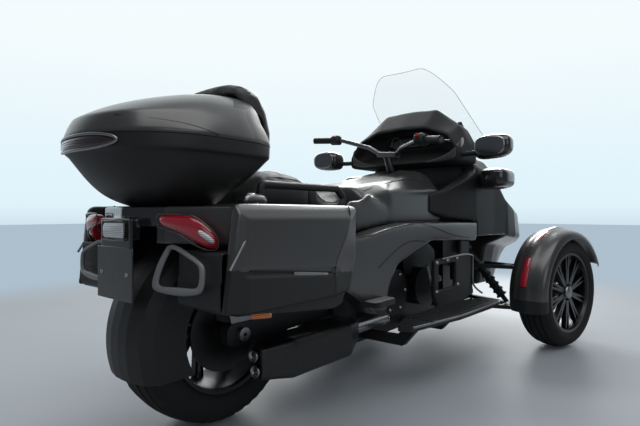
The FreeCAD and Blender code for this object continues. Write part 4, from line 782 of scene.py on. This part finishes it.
for side, sign in (("right", -1), ("left", 1)):
    for index, places in enumerate((
            [(337, 638), (442, 612), (565, 652), (678, 668), (800, 672)],
            [(864, 655), (1000, 622), (1146, 584), (1380, 556), (1625, 540)],
            [(520, 480), (600, 520), (700, 560), (800, 575), (900, 560)])):
        seam(f"side_joint_{index}_{side}", side_panels[side], "chassis",
             [at(forward, sign * 360, up) for forward, up in places],
             radius=0.0022, material=grip_rubber)
seam("top_case_seam_seal", tub, "chassis",
     [at(place.x * 1000 + 960, place.y * 1000, 896.8) for place in oval(-449, 92, 287, 897, 897)],
     radius=0.0028, closed=True, material=grip_rubber)


# Tail lamps
# Long red wedges wrapped round the corners of the tail, each with a pale indicator at its outer end,
# a clear lamp over the blank plate, and a smoked plate surround.
def wedge(rows, sign, depth=24):
    """Sections of a lens, each from its top point to its bottom point on the outside."""
    sections = []
    for (top_x, top_y, top_z), (low_x, low_y, low_z) in rows:
        middle = ((top_x + low_x) / 2 - 6, (top_y + low_y) / 2 + 5, (top_z + low_z) / 2)
        sections.append([
            at(top_x, sign * top_y, top_z), at(middle[0], sign * middle[1], middle[2]),
            at(low_x, sign * low_y, low_z), at(low_x + depth, sign * (low_y - depth * 0.7), low_z),
            at(top_x + depth, sign * (top_y - depth * 0.7), top_z)])
    return sections


lamp_rows = [
    ((-302, 172, 684), (-302, 174, 654)), ((-300, 215, 685), (-300, 212, 648)), ((-293, 262, 685), (-294, 256, 638)),
    ((-280, 308, 680), (-276, 294, 612)), ((-258, 334, 654), (-252, 320, 594)), ((-232, 352, 622), (-228, 340, 592)),
]
inner_rows = [
    ((-272, 314, 650), (-270, 310, 634)), ((-258, 330, 638), (-254, 324, 616)), ((-240, 346, 620), (-238, 340, 603)),
]
for side, sign in (("right", -1), ("left", 1)):
    moulding(f"tail_lamp_{side}", "chassis", wedge(lamp_rows, sign), red_lens)
    moulding(f"tail_indicator_{side}", "chassis", wedge([
        ((a[0] - 4, a[1] + 3, a[2]), (b[0] - 4, b[1] + 3, b[2])) for a, b in inner_rows], sign, 6),
        clear_lens)
    rail(f"tail_lamp_rim_{side}", "chassis",
         [at(top[0] - 1, sign * (top[1] + 1), top[2] + 2) for top, low in lamp_rows]
         + [at(low[0] - 1, sign * (low[1] + 1), low[2] - 2) for top, low in reversed(lamp_rows)],
         2.4, gloss_black, closed=True)
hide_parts("tail_lamps")
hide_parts("tail_lamps")
clear_rows = [[at(-332.5, left, 612), at(-340, left, 616), at(-346 + abs(left) / 10, left, 637), at(-340, left, 660),
               at(-332.5, left, 663)] for left in (-61, -58, -30, 0, 30, 58, 61)]
plate_lamp = moulding("tail_clear_lens", "chassis", clear_rows, clear_lens, 1)
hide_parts("tail_clear_lamp")
rail("tail_clear_lens_rim", "chassis",
     [at(-337, left, up) for left, up in ((-62, 612), (0, 609), (62, 612), (65, 637), (62, 664), (0, 667), (-62, 664),
                                         (-65, 637))], 2.6, gloss_black, closed=True, order=2)
rail("plate_surround", "chassis",
     [at(-333, left, up) for left, up in ((-101, 441), (-101, 589), (101, 589), (101, 441))],
     2.2, gloss_black, closed=True, order=2)
for sign in (-1, 1):
    bolt = [[at(-335.5 - step, sign * 72.5 + ring * math.cos(angle), 515 + ring * math.sin(angle))
             for angle in [math.pi / 8 * k for k in range(16)]]
            for step, ring in ((0, 6.5), (2, 6.2), (3.2, 4.5), (3.6, 1.5))]
    screw = add_piece(f"plate_screw_{'left' if sign > 0 else 'right'}", stretched("screw", bolt), "chassis", steel)


# Saddlebag trims
# A bright blade down the rear of each bag, a pressed line with a blank badge place, an amber side
# reflector on the black sill and a satin strap block where the grab handle starts.
# The amber reflector's faint glow is painted light.
amber_lens = lens("amber_lens", (0.42, 0.11, 0.01), 0.05)
for side, sign in (("right", -1), ("left", 1)):
    door = f"saddlebag_door_{side}"
    rail(f"bag_rear_joint_{side}", door,
         [at(forward, sign * left, up) for forward, left, up in (
             (-140, 388, 714), (-146, 402, 709), (-156, 416, 696), (-172, 425, 668), (-190, 426, 645))],
         1.8, gloss_black)
    rail(f"bag_blade_{side}", door,
         [at(forward, sign * left, up) for forward, left, up in (
             (-182, 425, 662), (-205, 426, 628), (-236, 426, 582), (-258, 424, 548))],
         4.0, satin_trim)
    rail(f"bag_line_{side}", door,
         [at(forward, sign * 427.5, up) for forward, up in ((-196, 541), (-60, 528), (0, 522), (60, 516), (130, 509))],
         2.2, grip_rubber)
    rail(f"bag_front_joint_{side}", door,
         [at(forward, sign * left, up) for forward, left, up in (
             (148, 431, 440), (141, 431, 505), (152, 431, 545), (192, 431, 604), (214, 430, 655), (232, 426, 690), (240, 410, 710))],
         1.8, grip_rubber)
    badge = [[at(forward, sign * left, up + rise) for left, rise in ((426, -7), (430.5, -6), (430.5, 6), (426, 7))]
             for forward, up in ((-36, 520), (-34, 520), (112, 503), (114, 503))]
    moulding(f"bag_badge_blank_{side}", door, badge, satin_trim, 1)
    reflector = [[at(forward, sign * left, up + rise) for left, rise in ((416, -9), (421.5, -8), (421.5, 8), (416, 9))]
                 for forward, up in ((-186, 424), (-183, 424), (-116, 416), (-113, 416))]
    moulding(f"bag_reflector_{side}", "chassis", reflector, amber_lens, 1)
    block = [[at(forward, sign * left, up) for left, up in ((225, 713), (262, 713), (258, 734 + rise), (229, 736 + rise))]
             for forward, rise in ((-64, 0), (-58, 16), (18, 16), (30, 0))]
    moulding(f"strap_block_{side}", "chassis", block, satin_trim, 1)

# Windscreen
# One clear polycarbonate sheet, bent across and rounded at its upper corners, with a polished edge,
# held by two arms.
screen_rows = []
for row in range(15):
    rise = row / 14
    line = []
    for column in range(25):
        share = -1 + column / 12
        top = 1462 - 128 * max(0.0, (abs(share) - 0.42) / 0.58) ** 2.3
        up = 1091 + (top - 1091) * rise
        climb = (up - 1090) / 374
        half = 320 + (226 - 320) * climb
        middle = 1829 + (1290 - 1829) * climb
        drop = 118 + (64 - 118) * climb
        line.append(at(middle - drop * abs(share) ** 2.2 - 8 * math.sin(math.pi * climb), half * share, up))
    screen_rows.append(line)
screen_mesh = stretched("screen", screen_rows, cap_last=False, round_ring=False)
screen_edge = metal("screen_edge", 0.16, 0.3)
screen = add_piece("windscreen_sheet", screen_mesh, "chassis", screen_finish)
wall = screen.modifiers.new("wall", "SOLIDIFY")
wall.thickness = 0.004
wall.offset = 0
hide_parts("windscreen")
outline = [row[0] for row in screen_rows] + screen_rows[-1][1:-1] + [row[-1] for row in reversed(screen_rows)]
rail("windscreen_edge", "chassis", outline, 1.1, screen_edge)
rail("windscreen_base", "chassis", screen_rows[0], 5.0, black_plastic)


# Mirrors and side wings
# Gloss black shells, each a rounded lens on a short stalk, with silvered glass set in the rear face;
# below them the wind deflectors.
def pod(name, body, rows, material, count=24, power=2.6):
    """A rounded shell through ovals along the vehicle's width: (left, rear, front, low, high)."""
    rings = []
    for left, rear, front, low, high in rows:
        ring = []
        for index in range(count):
            angle = 2 * math.pi * index / count
            along = math.copysign(abs(math.cos(angle)) ** (2 / power), math.cos(angle))
            rise = math.copysign(abs(math.sin(angle)) ** (2 / power), math.sin(angle))
            ring.append(at((rear + front) / 2 + (front - rear) / 2 * along, left, (low + high) / 2 + (high - low) / 2 * rise))
        rings.append(ring)
    piece = add_piece(name, stretched(name, rings, True, True), body, material)
    refine(piece, rounds=2)
    return piece


mirror_glass = metal("mirror_glass", 0.3, 0.16)
mirror_rows = [(424, 1250, 1318, 966, 1034), (432, 1230, 1328, 952, 1052), (470, 1217, 1334, 946, 1066),
               (530, 1215, 1332, 948, 1067), (575, 1217, 1322, 958, 1060), (594, 1226, 1300, 976, 1044),
               (599, 1240, 1284, 992, 1028)]
wing_rows = [(337, 1520, 1648, 814, 922), (380, 1440, 1646, 812, 925), (430, 1404, 1636, 812, 926),
             (480, 1402, 1612, 816, 922), (508, 1420, 1592, 826, 912), (518, 1460, 1560, 846, 892)]
shells = []
for side, sign in (("right", -1), ("left", 1)):
    shells.append(pod(f"mirror_shell_{side}", "chassis", [(sign * row[0], *row[1:]) for row in mirror_rows],
                      gloss_black))
    glass = [[at(1216.5 - proud, sign * (507 + (72 - edge) * math.copysign(abs(math.cos(a)) ** 0.7, math.cos(a))),
                 1006 + (47 - edge) * math.copysign(abs(math.sin(a)) ** 0.7, math.sin(a)))
              for a in [2 * math.pi * k / 32 for k in range(32)]] for proud, edge in ((-3, 0), (0.5, 2), (0.6, 10))]
    pane = add_piece(f"mirror_pane_{side}", stretched("pane", glass), "chassis", mirror_glass)
    rail(f"mirror_stalk_{side}", "chassis",
         [at(1302, sign * 436, 990), at(1306, sign * 400, 986), at(1306, sign * 341, 987)], 13, black_plastic)
    wing = pod(f"side_wing_shell_{side}", "chassis", [(sign * row[0], *row[1:]) for row in wing_rows],
               gloss_black, power=3.4)
    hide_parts("side_wings")
for shell in shells:
    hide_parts("mirrors")


# Instruments
# A dark glass display and two round dials in the bowl of the dash, under its hood, with a painted
# crescent along the right and left rims of the bowl.
dark_glass = polished_black("dark_glass", 0.008)
screen_face = [[at(1391 - lift, left, up) for left, up in (
    (-148 + edge, 1056 + edge), (148 - edge, 1056 + edge), (156 - edge, 1090), (128 - edge, 1128 - edge),
    (-128 + edge, 1128 - edge), (-156 + edge, 1090))] for lift, edge in ((0, 0), (7, 1), (8.5, 5))]
display = add_piece("display_panel", stretched("display", screen_face), "chassis", dark_glass)
refine(display, rounds=1)
for name, left in (("right", -92), ("left", 92)):
    rail(f"dial_ring_{name}", "chassis",
         [at(1381, left + 31 * math.cos(a), 1091 + 31 * math.sin(a)) for a in [math.pi / 8 * k for k in range(16)]],
         2.0, satin_trim, closed=True)
for side, sign in (("right", -1), ("left", 1)):
    crescent = []
    for left, low, high, forward in ((150, 950, 958, 1262), (230, 950, 972, 1262), (300, 958, 1000, 1264),
                                     (332, 985, 1040, 1272), (338, 1020, 1066, 1300), (330, 1050, 1090, 1350)):
        crescent.append([at(forward - 2, sign * left, low), at(forward - 5, sign * (left - 2), (low + high) / 2),
                         at(forward - 2, sign * (left - 6), high), at(forward + 8, sign * (left - 6), high),
                         at(forward + 8, sign * left, low)])
    moulding(f"dash_crescent_{side}", "chassis", crescent, body_paint)


# Switches
# Moulded switch pods beside both grips, each with a red button; the stop button on the right pod is the larger.
# The buttons' faint glow is painted light.
red_button = lens("red_button", (0.42, 0.01, 0.01), 0.1)
for side, sign, middle in (("right", -1, (952, -284, 1030)), ("left", 1, (1104, 318, 1102))):
    forward, left, up = middle
    box = [[at(forward + along * size, left + across, up + rise * size)
            for along, rise in ((-22, -14), (-14, -26), (14, -24), (26, -8), (24, 16), (4, 28), (-18, 18))]
           for across, size in ((-24, 0.86), (-20, 1), (18, 1), (24, 0.84))]
    moulding(f"switch_pod_{side}", "handlebar", box, black_plastic, 1)
    rail(f"switch_button_{side}", "handlebar", [at(forward - 20, left, up + 12), at(forward - 27, left, up + 15)],
         8 if side == "right" else 6, red_button)

# Front fenders
# Painted shells that turn with the front wheels: a raised ridge with an orange stripe over the top, a
# red reflector behind, and a black flap at the rear end.
def wheel_place(node, along, across, up):
    """A place measured in millimetres from the middle of a front wheel, turned as it stands parked."""
    low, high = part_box(node)
    centre = (Vector(low) + Vector(high)) / 2
    return centre + Matrix.Rotation(-PARK, 3, "Z") @ Vector((along / 1000, across / 1000, up / 1000))


def hoop(name, side, profile, start, end, steps, body, *materials):
    """A shell swept round the wheel's axle between two angles above the road's direction."""
    sign = -1 if side == "right" else 1
    rings = []
    for step in range(steps + 1):
        angle = math.radians(start + (end - start) * step / steps)
        rings.append([wheel_place(f"tyre_front_{side}", radius * math.cos(angle), sign * across, radius * math.sin(angle))
                      for across, radius in profile])
    return add_piece(name, stretched(name, rings, cap_last=False, round_ring=False), body, *materials)


fender_profile = [(-84, 311), (-72, 320), (-50, 324.5), (-29, 326), (-18, 333.5), (18, 333.5), (29, 326), (62, 321),
                  (86, 312), (95.5, 299), (97.5, 275)]
orange_stripe = lens("orange_stripe", (0.5, 0.09, 0.02), 0.0)
for side in ("right", "left"):
    knuckle = f"knuckle_{side}"
    shell = hoop(f"fender_shell_{side}", side, fender_profile, 24, 194, 44, knuckle, body_paint, black_plastic)
    for index, face in enumerate(shell.data.polygons):
        step, column = divmod(index, len(fender_profile) - 1)
        if step > 40 or column < 2:
            face.material_index = 1
    wall = shell.modifiers.new("wall", "SOLIDIFY")
    wall.thickness = 0.0035
    wall.offset = -1
    wall.use_even_offset = True
    finer = shell.modifiers.new("finer", "SUBSURF")
    finer.levels = 1
    finer.render_levels = 1
    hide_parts(f"fender_{side}")
    stripe = hoop(f"fender_stripe_{side}", side, [(-13, 333.6), (-11, 334.6), (11, 334.6), (13, 333.6)], 40, 126, 24,
                  knuckle, orange_stripe)
    # The reflector's faint glow from the red lens is painted light.
    mark = hoop(f"fender_reflector_{side}", side, [(-16, 332), (-14, 337), (14, 337), (16, 332)], 146, 171, 8,
                knuckle, red_lens)


# Wheels
# Cast black alloy wheels with a hub cap on each front one. The front rims wear a lighter copy of the alloy, which is
# painted light.
front_rim_lit_alloy = metal("front_rim_lit_alloy", 0.13, 0.3)
# The front rims get the lighter alloy as painted light; the rear rim keeps the darker black alloy.
dress(front_rim_lit_alloy, "rim_front_right", "rim_front_left")
for side, sign in (("right", -1), ("left", 1)):
    node = f"tyre_front_{side}"
    cap = [[wheel_place(node, ring * math.cos(a), sign * (58 + rise), ring * math.sin(a))
            for a in [math.pi / 12 * k for k in range(24)]]
           for rise, ring in ((0, 33), (5, 32), (9, 27), (10, 12), (10.3, 3))]
    hub_cap = add_piece(f"hub_cap_{side}", stretched("hub_cap", cap), f"wheel_front_{side}", satin_trim)


# Guards under the tail
# Flat grey mouldings that stand out on each side of the plate, each round a triangular opening.
bracket_line = [(-274, 186, 592, 9), (-288, 166, 548, 14), (-297, 156, 504, 17), (-298, 158, 488, 17),
                (-296, 176, 481, 15), (-289, 250, 482, 14), (-282, 320, 487, 14), (-279, 336, 496, 11),
                (-278, 341, 515, 9), (-277, 341, 546, 9), (-276, 332, 558, 9), (-276, 300, 570, 8),
                (-275, 236, 592, 9), (-274, 204, 598, 9)]
for side, sign in (("right", -1), ("left", 1)):
    sections = []
    centre = (250, 535)
    for forward, left, up, half in bracket_line + bracket_line[:1]:
        out = Vector((left - centre[0], up - centre[1])).normalized() * half
        sections.append([at(forward - 7, sign * (left + out.x), up + out.y), at(forward + 7, sign * (left + out.x), up + out.y),
                         at(forward + 7, sign * (left - out.x), up - out.y), at(forward - 7, sign * (left - out.x), up - out.y)])
    guard = add_piece(f"tail_guard_{side}", stretched(f"tail_guard_{side}", sections, cap_last=False), "chassis",
                      guard_grey)
    refine(guard, rounds=2)
    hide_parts("tail_brackets")


# Engine dress
# Bolt heads, a strut and a bracket in the open side, and the bright trim of the lower panel.
def bolt_head(name, place, facing, radius, material):
    """A domed hexagon-flanged bolt head that faces a direction."""
    turn = Vector(facing).to_track_quat("Z", "Y")
    rings = []
    for rise, share in ((0, 1.3), (0.15, 1.3), (0.2, 1.0), (0.75, 0.96), (0.95, 0.7), (1.0, 0.2)):
        rings.append([place + turn @ Vector((radius * share * math.cos(a), radius * share * math.sin(a), radius * rise)) / 1000
                      for a in [math.pi / 6 * k for k in range(12)]])
    head = add_piece(name, stretched(name, rings), "chassis", material)


for side, sign in (("right", -1), ("left", 1)):
    for index, (forward, up) in enumerate(((1034, 455), (1145, 459), (1252, 462), (1030, 320), (1262, 330))):
        bolt_head(f"panel_bolt_{index}_{side}", at(forward, sign * 332.5, up), (0, sign, 0), 7.5, steel)
    for index in range(6):
        angle = math.pi / 3 * index
        bolt_head(f"case_bolt_{index}_{side}", at(860 + 88 * math.cos(angle), sign * 213.5, 330 + 88 * math.sin(angle)),
                  (0, sign, 0), 6, steel)
    rail(f"engine_strut_{side}", "chassis", [at(1066, sign * 262, 436), at(1084, sign * 268, 380), at(1112, sign * 270, 322)],
         9, bare_alloy)
    plate = [[at(forward, sign * left, up) for left, up in ((238, 340), (262, 338), (266, 372), (240, 384))]
             for forward in (1160, 1166, 1224, 1234)]
    moulding(f"engine_bracket_{side}", "chassis", plate, bare_alloy, 1)
    rail(f"panel_trim_{side}", "chassis",
         [at(1080, sign * 335, 470), at(1275, sign * 336, 478), at(1430, sign * 336, 472), at(1452, sign * 336, 440),
          at(1440, sign * 336, 340), at(1454, sign * 340, 290), at(1484, sign * 372, 262)], 5.0, bare_alloy)


# Boards and silencer
# Grooved rubber on the rider's boards with a bright outer edge, a pad for the passenger, and two
# polished tips in the rear face of the silencer.
for side, sign in (("right", -1), ("left", 1)):
    rail(f"board_edge_{side}", "chassis",
         [at(forward, sign * left, 256) for forward, left in ((586, 453), (700, 474), (900, 505), (1100, 514), (1288, 522),
                                                            (1340, 514), (1366, 498))], 5.0, bare_alloy)
    pad = [[at(forward, sign * left, up) for left, up in ((352, 368), (416, 368), (414, 374), (353, 374))]
           for forward in (400, 406, 530, 536)]
    moulding(f"passenger_pad_{side}", "chassis", pad, guard_grey, 1)
for index, (left, up) in enumerate(((-232, 246), (-240, 200))):
    tip = [[at(forward, left + ring * math.cos(a), up + ring * math.sin(a)) for a in [math.pi / 12 * k for k in range(24)]]
           for forward, ring in ((22, 13), (-4, 15), (-14, 19), (-14, 17), (-4, 12), (20, 11))]
    pipe = add_piece(f"silencer_tip_{index}", stretched("tip", tip, cap_last=True), "chassis", steel)
